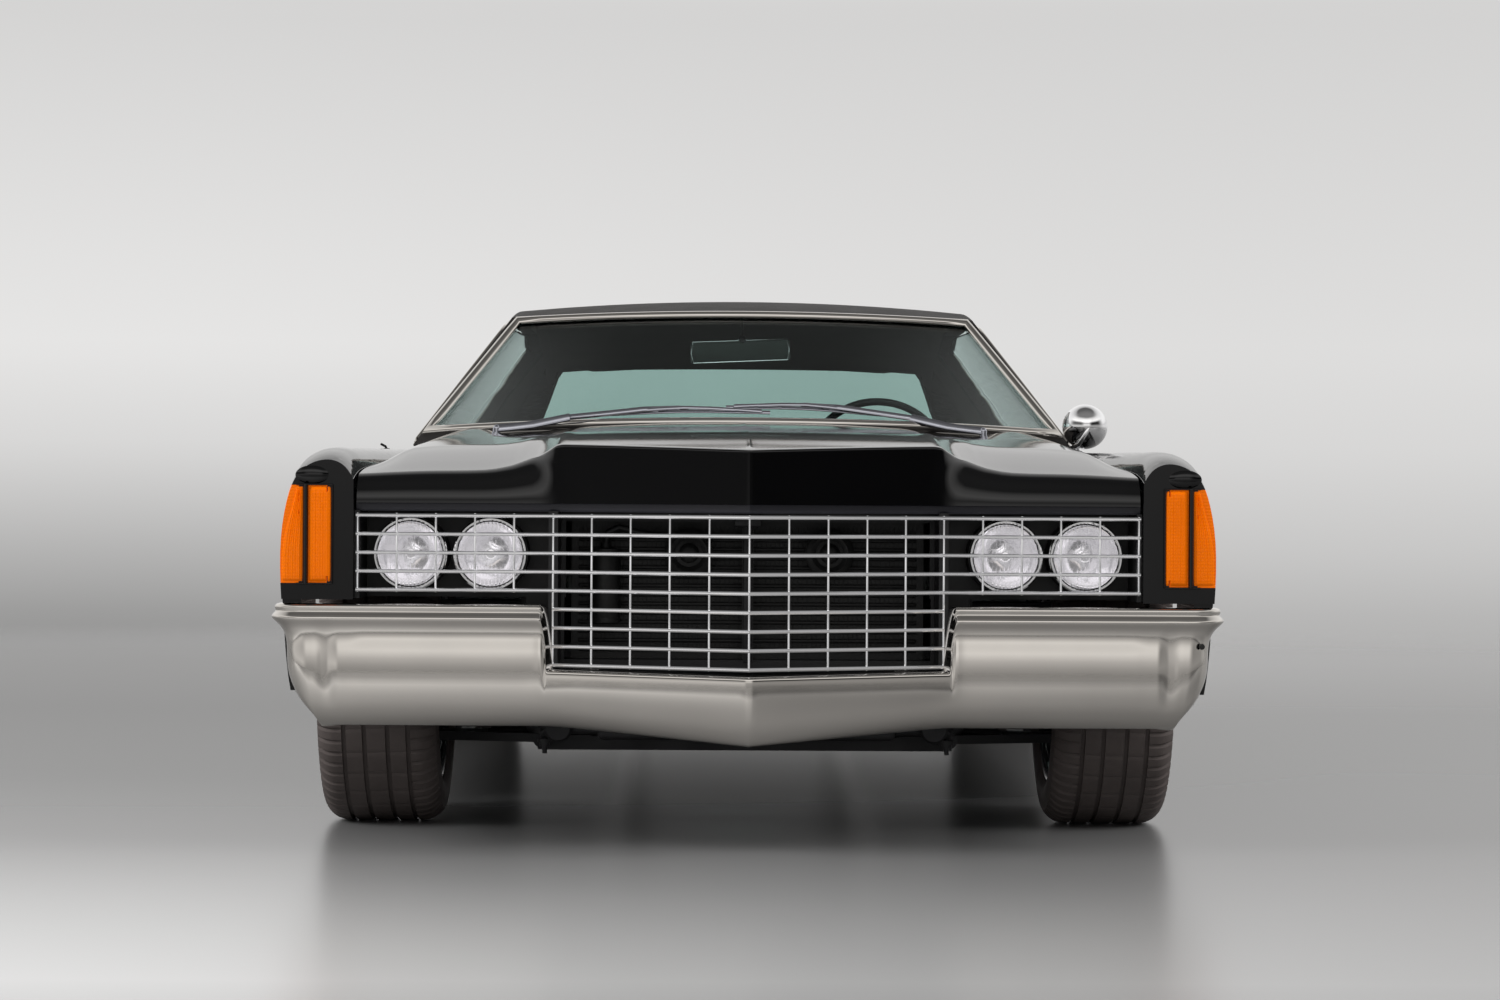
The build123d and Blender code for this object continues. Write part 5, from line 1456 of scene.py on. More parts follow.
@dataclass
class SideTrim:
    """Mouldings along the doors, sills and arches, and the door handles."""

    sill_z: float = 0.262
    handle: Spot = (0.385, 0.80)
    button_back: float = 0.096
    lip_out: float = 0.006
    lip_drop: float = 0.026

    def _row(self, node: str, y0: float, y1: float, z: float, side: float, width: float,
             height: float) -> Piece:
        """Builds a strip along the body side.

        Args:
            node: CAD node that it lies on.
            y0: Where it starts.
            y1: Where it ends.
            z: Its height above the floor.
            side: 1 on the left, -1 on the right.
            width: Its width.
            height: How far it stands proud.

        Returns:
            The strip.
        """
        count = max(3, int(abs(y1 - y0) / 0.08))
        casts = [((1.3 * side, y, z), (-side, 0.0, 0.0)) for y in spread(y0, y1, count)]
        return Skin(node).molding("strip", casts, width, height)

    def _arch(self, node: str, axle: float, side: float, radius: float) -> Piece:
        """Builds the lip round a wheel opening.

        Args:
            node: CAD node with the opening.
            axle: Place of the axle.
            side: 1 on the left, -1 on the right.
            radius: Radius of the opening.

        Returns:
            The lip.
        """
        casts = []
        flat = TYRE_R + radius - self.lip_drop
        out = radius + self.lip_out
        for k in range(49):
            a = math.pi * (-0.075 + 1.15 * k / 48)
            z = min(TYRE_R + math.sin(a) * out, flat + self.lip_out)
            casts.append(((1.3 * side, axle + math.cos(a) * out, z), (-side, 0.0, 0.0)))
        return Skin(node).molding("arch_lip", casts, 0.013, 0.005)

    def _handle(self, side: float, door: str) -> list[Piece]:
        """Builds the pull handle with its button and the button's plate.

        Args:
            side: 1 on the left, -1 on the right.
            door: CAD node of the door.

        Returns:
            The three pieces.
        """
        y, z = self.handle
        x = Skin(door).cast((1.3 * side, y, z), (-side, 0, 0))[0].x
        path = [(x + out * side, y + along, z) for out, along in (
            (0.0, -0.095), (0.007, -0.084), (0.0115, -0.060), (0.0122, 0.0), (0.0115, 0.050),
            (0.007, 0.066), (0.0, 0.074))]
        back = y + self.button_back
        bar = Shop.bar("handle", path, (side, 0, 0), 0.020, 0.009, 12)
        button = Shop.turned("button", (
            (0.0, 0.0145), (0.0115, 0.0145), (0.0140, 0.012), (0.0140, 0.004), (0.0130, 0.0)),
            (x - 0.002 * side, back, z), "X", side, 28)
        plate = Shop.turned("plate", ((-0.002, 0.020), (0.003, 0.020), (0.0045, 0.0175),
                                      (0.0045, 0.0)), (x - 0.001 * side, back, z), "X", side, 28)
        return [bar, button, plate]

    def build(self) -> None:
        """Builds both sides."""
        fixed = []
        for side, word in SIDES:
            door = "door_" + word
            fixed.append(self._arch("fender_" + word, FRONT_AXLE_Y, side, 0.402))
            fixed.append(self._arch("quarter_panel_" + word, REAR_AXLE_Y, side, 0.394))
            fixed.append(self._row("floor_pan", -1.36, 0.80, 0.222, side, 0.026, 0.004))
            fixed.append(self._row("fender_" + word, -2.50, -2.20, 0.545, side, 0.010, 0.003))
            moving = [self._row(door, -0.70, 0.545, self.sill_z + 0.012, side, 0.022, 0.004)]
            moving += self._handle(side, door)
            Shop.dress(Shop.join("door_trim_" + word, moving), CHROME, door, "polished_chrome",
                       angle=45)
        Shop.dress(Shop.join("sill_and_arch_trim", fixed), CHROME, "body", "polished_chrome",
                   angle=45)


@dataclass
class HoodSkin:
    """Hood pressed with a rounded nose, a V face, a middle crease and a seam above its nose."""

    half: float = 0.8315
    low: float = 0.7380
    v_half: float = 0.415
    v_depth: float = 0.185
    groove: float = 0.0018
    edge_r: float = 0.0055
    thick: float = 0.0022
    swell: float = 0.030
    # where the flat V gives way to the rounded wings, and the angles of the rounded nose
    wing_blend: Spot = (0.405, 0.475)
    nose_angles: Spot = (72, 4)
    # the nose's foot: its place, its lean and the height at which the place is taken
    nose_y: float = -2.604
    nose_lean: float = 0.150
    nose_z: float = 0.560
    rear_y: float = -0.8835
    rear_bow: float = 0.080
    side_x: float = 0.838
    fold: float = 0.0016
    fold_half: float = 0.0035
    # (place, height) of the skin beside the fender and in the middle
    gap_z: Sequence[Spot] = ((-2.600, 0.786), (-2.520, 0.800), (-2.380, 0.813), (-2.090, 0.825),
                             (-1.600, 0.845), (-1.000, 0.864), (-0.740, 0.872), (0.0, 0.880))
    mid_z: Sequence[Spot] = ((-2.800, 0.846), (-2.590, 0.866), (-2.380, 0.886), (-2.200, 0.898),
                             (-1.900, 0.912), (-1.500, 0.929), (-1.000, 0.946), (-0.600, 0.954))
    # (distance from the middle, share of the middle's rise) at the nose and at the cowl
    nose_share: Sequence[Spot] = ((0.0, 1.0), (0.21, 0.975), (0.38, 0.94), (0.408, 0.90),
                                  (0.425, 0.74), (0.448, 0.52), (0.47, 0.40), (0.49, 0.30),
                                  (0.512, 0.21), (0.56, 0.11), (0.70, 0.07), (0.838, 0.0))
    cowl_share: Sequence[Spot] = ((0.0, 1.0), (0.21, 0.965), (0.38, 0.862), (0.428, 0.82),
                                  (0.47, 0.775), (0.512, 0.725), (0.56, 0.663), (0.70, 0.44),
                                  (0.838, 0.0))

    def top(self, x: float, y: float) -> float:
        """Height of the hood's skin.

        Args:
            x: Distance from the middle, either way.
            y: Place along the car.

        Returns:
            The height above the floor.
        """
        x = abs(x)
        share = min(max((y + 2.59) / 1.79, 0.0), 1.0) ** 1.3
        edge = follow(self.gap_z, y)
        nose, cowl = follow(self.nose_share, x), follow(self.cowl_share, x)
        start = 0.38 + 0.22 * soft_step(-2.05, -1.25, y)
        crown = self.swell * soft_step(-2.560, -2.080, y) * (1 - soft_step(0.750, self.side_x, x))
        crown *= soft_step(start, start + 0.12, x)
        return edge + (follow(self.mid_z, y) - edge) * (nose + (cowl - nose) * share) + crown

    def back(self, x: float) -> float:
        """Rear edge of the hood at a distance from the middle."""
        return self.rear_y + self.rear_bow * (x / self.side_x) ** 2

    def _nose(self, x: float, z: float) -> float:
        """Flat front face at one place, its bend beside the V rounded."""
        inside = 1 - abs(x) / self.v_half
        bend = 0.12 - 0.06 * soft_step(self.low, 0.86, z)
        ahead = inside if inside > bend else max(0.0, inside + bend) ** 2 / (4 * bend)
        return self.nose_y + self.nose_lean * (z - self.nose_z) - self.v_depth * ahead

    def _column(self, x: float) -> list[Vector]:
        """Runs from the rear edge over the top and the nose down to the lip.

        Args:
            x: Place across the car.

        Returns:
            The points of the section.
        """
        wing = soft_step(*self.wing_blend, abs(x))
        start, stop = (math.radians(angle) for angle in self.nose_angles)
        deep = math.sin(start) - math.sin(stop)

        def front(y_low: float, z_high: float, t: float) -> tuple[float, float]:
            """Finds a point of the face, flat on the V and rounded on the wings.

            Args:
                y_low: Place of the face's foot.
                z_high: Height of the face's top.
                t: Share of the way down.

            Returns:
                The point's y and z.
            """
            tall = z_high - self.low
            angle = start + (stop - start) * t
            drop = (math.sin(start) - math.sin(angle)) / deep
            lean = (math.cos(stop) - math.cos(angle)) / deep
            z_arc, y_arc = z_high - tall * drop, y_low + tall * lean
            z_flat = z_high - tall * t
            return (self._nose(x, z_flat) * (1 - wing) + y_arc * wing,
                    z_flat * (1 - wing) + z_arc * wing)

        y_low = self._nose(x, self.low)
        seam = -2.56 - self.v_depth * max(0.0, 1 - abs(x) / self.v_half)
        for _ in range(6):
            seam, _ = front(y_low, self.top(x, seam) - self.edge_r * (1 - wing), 0.0)
        high = self.top(x, seam) - self.edge_r * (1 - wing)
        run = []
        for k in range(46):
            y = self.back(x) + (seam + self.edge_r - self.back(x)) * (k / 45) ** 0.75
            run.append(Vector((x, y, self.top(x, y))))
        lip = ((0.0042, 0.0), (0.0032, self.groove), (0.0020, self.groove), (0.0010, 0.0))
        for k, (back, sunk) in enumerate(lip):
            angle = math.pi / 2 * (k + 1) / 5
            y = seam + self.edge_r * (1 - math.sin(angle)) * (1 - wing) + back * wing
            z = self.top(x, y) - self.edge_r * (1 - math.cos(angle)) * (1 - wing) - sunk * wing
            run.append(Vector((x, y, z)))
        for k in range(25):
            y, z = front(y_low, high, k / 24)
            run.append(Vector((x, y, z)))
        run.append(run[-1] + Vector((0.0, 0.010, 0.0005)))
        return run

    def build(self) -> None:
        """Builds the pressed skin, its braces, its hinge arms and the painted cowl behind it."""
        close = (0.0015, 0.004, 0.008, *spread(0.385, 0.525, 29))
        xs = sorted({round(x, 4) for x in spread(-self.half, self.half, 81)}
                    | {round(side * x, 4) for x in close for side, _ in SIDES})
        sections = [self._column(x) for x in xs]
        for x, section in zip(xs, sections):
            fold = self.fold * math.exp(-(x / self.fold_half) ** 2)
            for point in section:
                point.z += fold if point.y > -2.70 else 0.0
                point.y -= fold if point.y <= -2.60 else 0.0
        panel = Shop.lattice("hood_skin", len(xs), len(sections[0]), lambda c, r: sections[c][r])
        Shop.modify(panel, "SOLIDIFY", thickness=self.thick, offset=-1.0)
        Shop.dress(panel, BLACK_PAINT, "hood", "black_paint", ["hood"], angle=42)
        inner = []
        for y, half in ((-2.30, 0.66), (-1.75, 0.68), (-1.20, 0.70)):
            path = [(x, y, self.top(x, y) - 0.022) for x in spread(-half, half, 29)]
            inner.append(self._brace(path, ((0.034, 0.0), (0.024, -0.014), (0.018, 0.012))))
        for x in (-0.60, -0.20, 0.20, 0.60):
            path = [(x, y, self.top(x, y) - 0.024) for y in spread(-2.45, -1.02, 21)]
            inner.append(self._brace(path, ((0.028, 0.0), (0.020, -0.012), (0.015, 0.010))))
        for side, _ in SIDES:
            outline = [(-0.690, 0.850), (-0.740, 0.788), (-0.850, 0.816), (-0.940, 0.810),
                       (-0.940, 0.862), (-0.850, 0.866), (-0.840, 0.840), (-0.744, 0.812),
                       (-0.708, 0.858)]
            arm = Shop.slab("arm", [(0.798 * side, y, z) for y, z in outline],
                            (0.008 * side, 0.0, 0.0))
            pin = Shop.turned("pin", ((0.798, 0.0), (0.798, 0.007), (0.820, 0.007), (0.820, 0.0)),
                              (0.0, -0.700, 0.850), "X", side, 20)
            inner += [Shop.modify(arm, "BEVEL", width=0.0015, segments=2), pin]
        Shop.dress(Shop.join("hood_frame", inner), BLACK_STRUCTURE, "hood", "black_structure")
        self._cowl()
        self._fittings()

    @staticmethod
    def _brace(path: Sequence[Point], half: Sequence[Spot]) -> Piece:
        """Builds one brace under the skin.

        Args:
            path: Where it runs.
            half: Right half of its section, from the edge to the middle.

        Returns:
            The brace.
        """
        section = [(-a, b) for a, b in half] + [(a, b) for a, b in reversed(half)]
        return Shop.sweep("brace", path, [DOWN] * len(path), section)

    def _cowl(self) -> None:
        """Builds the painted cowl between the hood and the windshield."""
        glass = Skin("windshield", "roof_panel")
        xs = spread(-0.786, 0.786, 63)

        def spot(column: int, row: int) -> Point:
            """Point of the cowl."""
            x = xs[column]
            z1 = 0.921 + 0.022 * (1 - (x / self.side_x) ** 2)
            place, _ = glass.cast((x, -2.0, z1 + 0.006), BACK)
            y0, y1 = self.back(x) + 0.008, (place.y if place else -0.70) - 0.006
            z0 = min(self.top(x, self.back(x)) - 0.010, z1)
            t = row / 8
            return (x, y0 + (y1 - y0) * t, z0 + (z1 - z0) * t)

        panel = Shop.lattice("cowl_panel", len(xs), 9, spot)
        Shop.modify(panel, "SOLIDIFY", thickness=0.002, offset=-1.0)
        Shop.dress(panel, BLACK_PAINT, "body", "black_paint", angle=40)

    @staticmethod
    def _fittings() -> None:
        """Builds the aerial foot on the right fender."""
        x, y, z = Skin("fender_right").cast((-0.915, -1.000, 1.4), DOWN)[0]
        mast = Shop.wire("mast", [(x, y, z + 0.001), (x - 0.003, y - 0.003, z + 0.008),
                                  (x - 0.014, y - 0.010, z + 0.014)], 0.0030, AHEAD, 10)
        foot = Shop.turned("foot", ((0.0, 0.010), (0.002, 0.010), (0.004, 0.007), (0.005, 0.0)),
                           (x, y, z - 0.001), "Z", 1.0, 24)
        Shop.dress(Shop.join("aerial_foot", [mast, foot]), SOFT_RUBBER, "body", "rubber_tyre")


@dataclass
class Underbody:
    """Cross member, control arms, sway bar and links seen below the bumper."""

    def build(self) -> None:
        """Builds the pieces under the nose."""
        parts = [Shop.brick("member", (-0.430, -1.960, 0.205), (0.430, -1.880, 0.262), 0.016, 4),
                 Shop.brick("skid", (-0.330, -2.240, 0.214), (0.330, -2.190, 0.250), 0.012, 4)]
        for side, _ in SIDES:
            path = [(0.330 * side, -1.905, 0.232), (0.430 * side, -1.890, 0.224),
                    (0.520 * side, -1.865, 0.212), (0.585 * side, -1.840, 0.204)]
            parts.append(Shop.bar("arm", path, DOWN, 0.070, 0.028, 14))
            parts.append(Shop.turned("bush",
                                     ((-0.036, 0.0), (-0.036, 0.024), (-0.030, 0.030),
                                      (0.030, 0.030), (0.036, 0.024), (0.036, 0.0)),
                                     (0.345 * side, -1.908, 0.232), "Y", 1.0, 28))
            strut = [(0.500 * side, -1.880, 0.218), (0.455 * side, -2.060, 0.224),
                     (0.420 * side, -2.200, 0.238)]
            parts.append(Shop.wire("strut", strut, 0.011, UP, 12))
            parts.append(Shop.turned("washer",
                                     ((-0.012, 0.0), (-0.012, 0.026), (-0.004, 0.031),
                                      (0.006, 0.026), (0.010, 0.0)), (0.418 * side, -2.205, 0.238),
                                     "Y", 1.0, 28))
            parts.append(Shop.turned(
                "link",
                ((-0.046, 0.0), (-0.046, 0.0055), (-0.030, 0.0055), (-0.030, 0.0115),
                 (-0.021, 0.0115), (-0.021, 0.0165), (-0.013, 0.0165), (-0.013, 0.0060),
                 (0.012, 0.0060), (0.012, 0.0165), (0.020, 0.0165), (0.020, 0.0115),
                 (0.030, 0.0115), (0.030, 0.0)), (0.452 * side, -2.120, 0.222), "Z", 1.0, 18))
        bar = [(-0.452, -2.120, 0.222), (-0.440, -2.165, 0.230), (-0.400, -2.190, 0.236),
               (0.400, -2.190, 0.236), (0.440, -2.165, 0.230), (0.452, -2.120, 0.222)]
        parts.append(Shop.wire("sway_bar", bar, 0.0125, UP, 14))
        for x in (-0.26, -0.09, 0.09, 0.26):
            parts.append(Shop.turned("bolt",
                                     ((0.0, 0.0), (0.0, 0.010), (-0.007, 0.010), (-0.009, 0.0075),
                                      (-0.009, 0.0)), (x, -1.920, 0.205), "Z", 1.0, 6))
        Shop.dress(Shop.join("underbody_fittings", parts), CAST_METAL, "body", "cast_iron",
                   angle=40)


@dataclass
class Wipers:
    """Two parked wipers: spindle cap, tapered arm, hinged bridge and rubber blade."""

    lines: Sequence[tuple[Spot, Spot, Sequence[Spot]]] = (
        ((-0.646, 0.929), (-0.165, 0.984), ((-0.381, 0.966), (-0.155, 0.976), (0.071, 0.974))),
        ((0.630, 0.929), (0.160, 0.994), ((-0.045, 0.988), (0.160, 0.986), (0.373, 0.970))))
    spindle_y: float = -0.804
    glass_y: float = -0.800
    out: Point = (0.0, -0.84, 0.54)
    # for each bow: (point of the rail, how far it is lifted), its width and its height
    bows: Sequence[tuple[Sequence[tuple[int, float]], float, float]] = (
        (((1, 0.0), (1, 0.006), (4, 0.011), (7, 0.006), (7, 0.0)), 0.008, 0.003),
        (((13, 0.0), (13, 0.006), (16, 0.011), (19, 0.006), (19, 0.0)), 0.008, 0.003),
        (((4, 0.010), (7, 0.015), (10, 0.018), (13, 0.015), (16, 0.010)), 0.010, 0.0035))

    def build(self) -> None:
        """Builds both wipers on the glass."""
        glass = Skin("windshield")
        metal, rubber = [], []
        out = Vector(self.out)

        def ahead(x: float, z: float, proud: float) -> Vector:
            """Point ahead of the glass."""
            place, _ = glass.cast((x, -2.0, z), BACK)
            return (place if place else Vector((x, self.glass_y, z))) + out * proud

        for (x0, z0), (x1, z1), blade in self.lines:
            metal.append(Shop.turned("cap",
                                     ((-0.045, 0.010), (0.004, 0.010), (0.009, 0.008),
                                      (0.012, 0.004), (0.0125, 0.0)), (x0, self.spindle_y, z0), "Z",
                                     1.0, 24))
            arm = [Vector((x0, self.spindle_y, z0 + 0.003))]
            for t in (0.08, 0.2, 0.4, 0.6, 0.8, 0.93, 1.0):
                x, z = x0 + (x1 - x0) * t, z0 + (z1 - z0) * t
                spot = ahead(x, z, 0.021 - 0.013 * max(0.0, (t - 0.8) / 0.2))
                near = min(1.0, t / 0.4)
                y = self.spindle_y + (spot.y - self.spindle_y) * near
                arm.append(Vector((x, y, spot.z * near + (z0 + 0.004) * (1 - near))))
            metal.append(Shop.bar("arm", arm[:4], out, 0.024, 0.012, 12))
            metal.append(Shop.bar("arm", arm[3:], out, 0.0175, 0.010, 12))
            spots = spread(blade[0][0], blade[-1][0], 21)
            heights = [follow(blade, x) for x in spots]
            edge = [ahead(x, z, 0.0035) for x, z in zip(spots, heights)]
            rubber.append(Shop.bar("blade", edge, out, 0.0040, 0.010, 8))
            rail = [ahead(x, z, 0.0085) for x, z in zip(spots, heights)]
            metal.append(Shop.bar("rail", rail, out, 0.011, 0.0040, 8))
            for lifts, wide, tall in self.bows:
                bow = [rail[i] + out * lift for i, lift in lifts]
                metal.append(Shop.bar("bow", bow, out, wide, tall, 8))
            metal.append(Shop.turned("pin",
                                     ((-0.012, 0.0), (-0.012, 0.0035), (0.012, 0.0035),
                                      (0.012, 0.0)), tuple(rail[10] + out * 0.012), "X", 1.0, 12))
        Shop.dress(Shop.join("wiper_metal", metal), WIPER_STEEL, "body", "polished_chrome",
                   ["wipers"])
        Shop.dress(Shop.join("wiper_rubber", rubber), SOFT_RUBBER, "body", "black_structure")


@dataclass
class DoorMirror:
    """Round bullet mirror on a bent stalk with a flared foot."""

    at: Point = (0.910, -0.680, 0.948)
    dome: Sequence[Spot] = ((0.070, 0.0), (0.0685, 0.012), (0.063, 0.026), (0.053, 0.040),
                            (0.038, 0.051), (0.020, 0.0575), (0.004, 0.0598), (-0.009, 0.0598),
                            (-0.0115, 0.0585), (-0.0118, 0.0555), (-0.0090, 0.0545))

    def build(self) -> None:
        """Builds the head, the glass, the stalk and the foot."""
        x, y, z = self.at
        head = Shop.turned("head", self.dome, self.at, "Y", -1.0, 72)
        glass = Shop.turned("mirror_face",
                            ((-0.0088, 0.0550), (-0.0098, 0.0400), (-0.0104, 0.0200),
                             (-0.0107, 0.0)), self.at, "Y", -1.0, 60)
        foot_spot, _ = Skin("door_left").cast((x - 0.026, y + 0.010, 1.2), DOWN)
        low = foot_spot.z if foot_spot else 0.876
        foot = Shop.turned("foot",
                           ((-0.003, 0.0262), (0.002, 0.0262), (0.005, 0.023), (0.008, 0.015),
                            (0.013, 0.0105), (0.020, 0.0092), (0.022, 0.0)),
                           (x - 0.026, y + 0.010, low), "Z", 1.0, 40)
        path = [(x - 0.026, y + 0.010, low + 0.010), (x - 0.025, y + 0.008, low + 0.026),
                (x - 0.020, y + 0.004, low + 0.038), (x - 0.012, y - 0.002, z - 0.046)]
        stalk = Shop.bar("stalk", path, AHEAD, 0.0165, 0.0165, 16)
        rod = Shop.wire("rod",
                        [(x + 0.004, y - 0.066, z - 0.006), (x - 0.004, y - 0.070, z - 0.018),
                         (x - 0.022, y - 0.058, z - 0.048), (x - 0.038, y - 0.030, low + 0.014),
                         (x - 0.042, y - 0.022, low + 0.002)], 0.0052, AHEAD, 14)
        boss = Shop.turned("boss",
                           ((-0.002, 0.017), (0.002, 0.017), (0.005, 0.013), (0.010, 0.0085),
                            (0.012, 0.0)), (x - 0.042, y - 0.022, low), "Z", 1.0, 32)
        Shop.dress(Shop.join("door_mirror_shell", [head, foot, stalk, rod, boss]), BRIGHT_CHROME,
                   "door_left", "polished_chrome", ["door_mirror"], angle=40)
        Shop.dress(glass, MIRROR_GLASS, "door_left", "polished_chrome")


# ---- cabin -------------------------------------------------------------------------------------
@dataclass
class Pad:
    """One upholstered pad: a crowned closed form with sewn channels and a piped edge."""

    name: str
    size: Point
    channels: int
    crown: float = 0.022
    waist: float = 0.006
    channel_deep: float = 0.007
    # powers that square the section, round the ends and sharpen the channels
    squareness: float = 0.30
    end_round: Spot = (9, 0.42)
    channel_round: float = 0.45
    # shares of the face that carry channels, along it and across it
    sewn: Spot = (0.86, 0.90)
    columns: int = 97
    rows: int = 33

    def build(self, place: Matrix) -> Piece:
        """Builds the pad, its middle at the origin of place, its face towards local +Z.

        Args:
            place: Matrix that sets it into the cabin.

        Returns:
            The new piece, not yet dressed.
        """
        w, h, d = self.size
        long, across = self.sewn
        ring = self.rows * 2

        def spot(column: int, row: int) -> Vector:
            """Finds a point of the pad.

            Args:
                column: Place along its width.
                row: Place round its section.

            Returns:
                The point.
            """
            u = -1 + 2 * column / (self.columns - 1)
            angle = 2 * math.pi * row / ring
            c, s = math.cos(angle), math.sin(angle)
            v = math.copysign(abs(c) ** self.squareness, c)
            t = math.copysign(abs(s) ** self.squareness, s)
            end = (1 - abs(u) ** self.end_round[0]) ** self.end_round[1]
            pull = 1 - self.waist / h * 2 * (1 - u * u)
            z = t * d / 2 * end
            y = v * h / 2 * (end ** 0.35 if abs(u) > 0.98 else 1.0) * pull
            x = u * w / 2 * (1 - self.waist / w * (1 - v * v))
            if t > 0:
                z += self.crown * (1 - u ** 4) * max(0.0, 1 - v * v) * 1.2
                if abs(u) < long and abs(v) < across:
                    wave = abs(math.sin(math.pi * self.channels * (u / long + 1) / 2))
                    edge = soft_step(across, 0.70, abs(v)) * soft_step(long, 0.80, abs(u))
                    z -= self.channel_deep * (1 - wave ** self.channel_round) * edge
            return place @ Vector((x, y, z))

        return Shop.lattice(self.name, self.columns, ring + 1, spot, close=True)


@dataclass
class Lining:
    """Cloth and trim laid just inside the roof, its pillars and the rear quarters."""

    gap: float = 0.004

    def _sheet(self, skin: Skin, name: str, columns: int, rows: int,
               ray: Callable[[float, float], tuple[Point, Point]], depth: float,
               least: float = 0.0) -> Piece:
        """Lays a sheet on what the rays meet.

        Args:
            skin: Surface that it lies on.
            name: Piece name.
            columns: Corners across.
            rows: Corners along.
            ray: Gives start and way from two shares.
            depth: Furthest that a ray may reach.
            least: Least distance from the middle plane.

        Returns:
            The new piece.
        """
        spots: dict[tuple[int, int], Vector] = {}
        for row in range(rows):
            for column in range(columns):
                start, way = ray(column / (columns - 1), row / (rows - 1))
                place, _ = skin.cast(start, way)
                if place is not None and (place
                                          - Vector(start)).length < depth and abs(place.x) >= least:
                    spots[column, row] = place - Vector(way) * self.gap

        def spot(column: int, row: int) -> Vector:
            """Own spot or the nearest one found."""
            if (column, row) in spots:
                return spots[column, row]
            near = min(spots, key=lambda k: (k[0] - column) ** 2 + (k[1] - row) ** 2)
            return spots[near]

        return Shop.lattice(name, columns, rows, spot)

    def build(self) -> None:
        """Builds the ceiling and both rear quarters."""
        skin = Skin("roof_panel")
        ceiling = self._sheet(skin, "headliner", 49, 61, lambda u, v: (
            (-0.60 + 1.20 * u, -0.225 + 1.20 * v, 1.0), UP), 0.34)
        Shop.dress(ceiling, HEADLINER, "body", "seat_leather", angle=60)
        for side, word in SIDES:
            quarter = self._sheet(skin, "quarter_lining_" + word, 25, 25, lambda u, v: (
                (0.2 * side, 0.70 + 0.52 * u, 0.900 + 0.31 * v), (side, 0.0, 0.0)), 0.75, 0.585)
            Shop.dress(quarter, HEADLINER, "body", "seat_leather", angle=60)
            post = self._sheet(skin, "post_lining_" + word, 7, 25, lambda u,
                               v: ((0.40 * side, -0.55 + 0.34 * v + 0.10 * u, 0.955 + 0.265 * v),
                                   (side, 0.0, 0.0)), 0.6)
            Shop.dress(post, HEADLINER, "body", "seat_leather", angle=60)


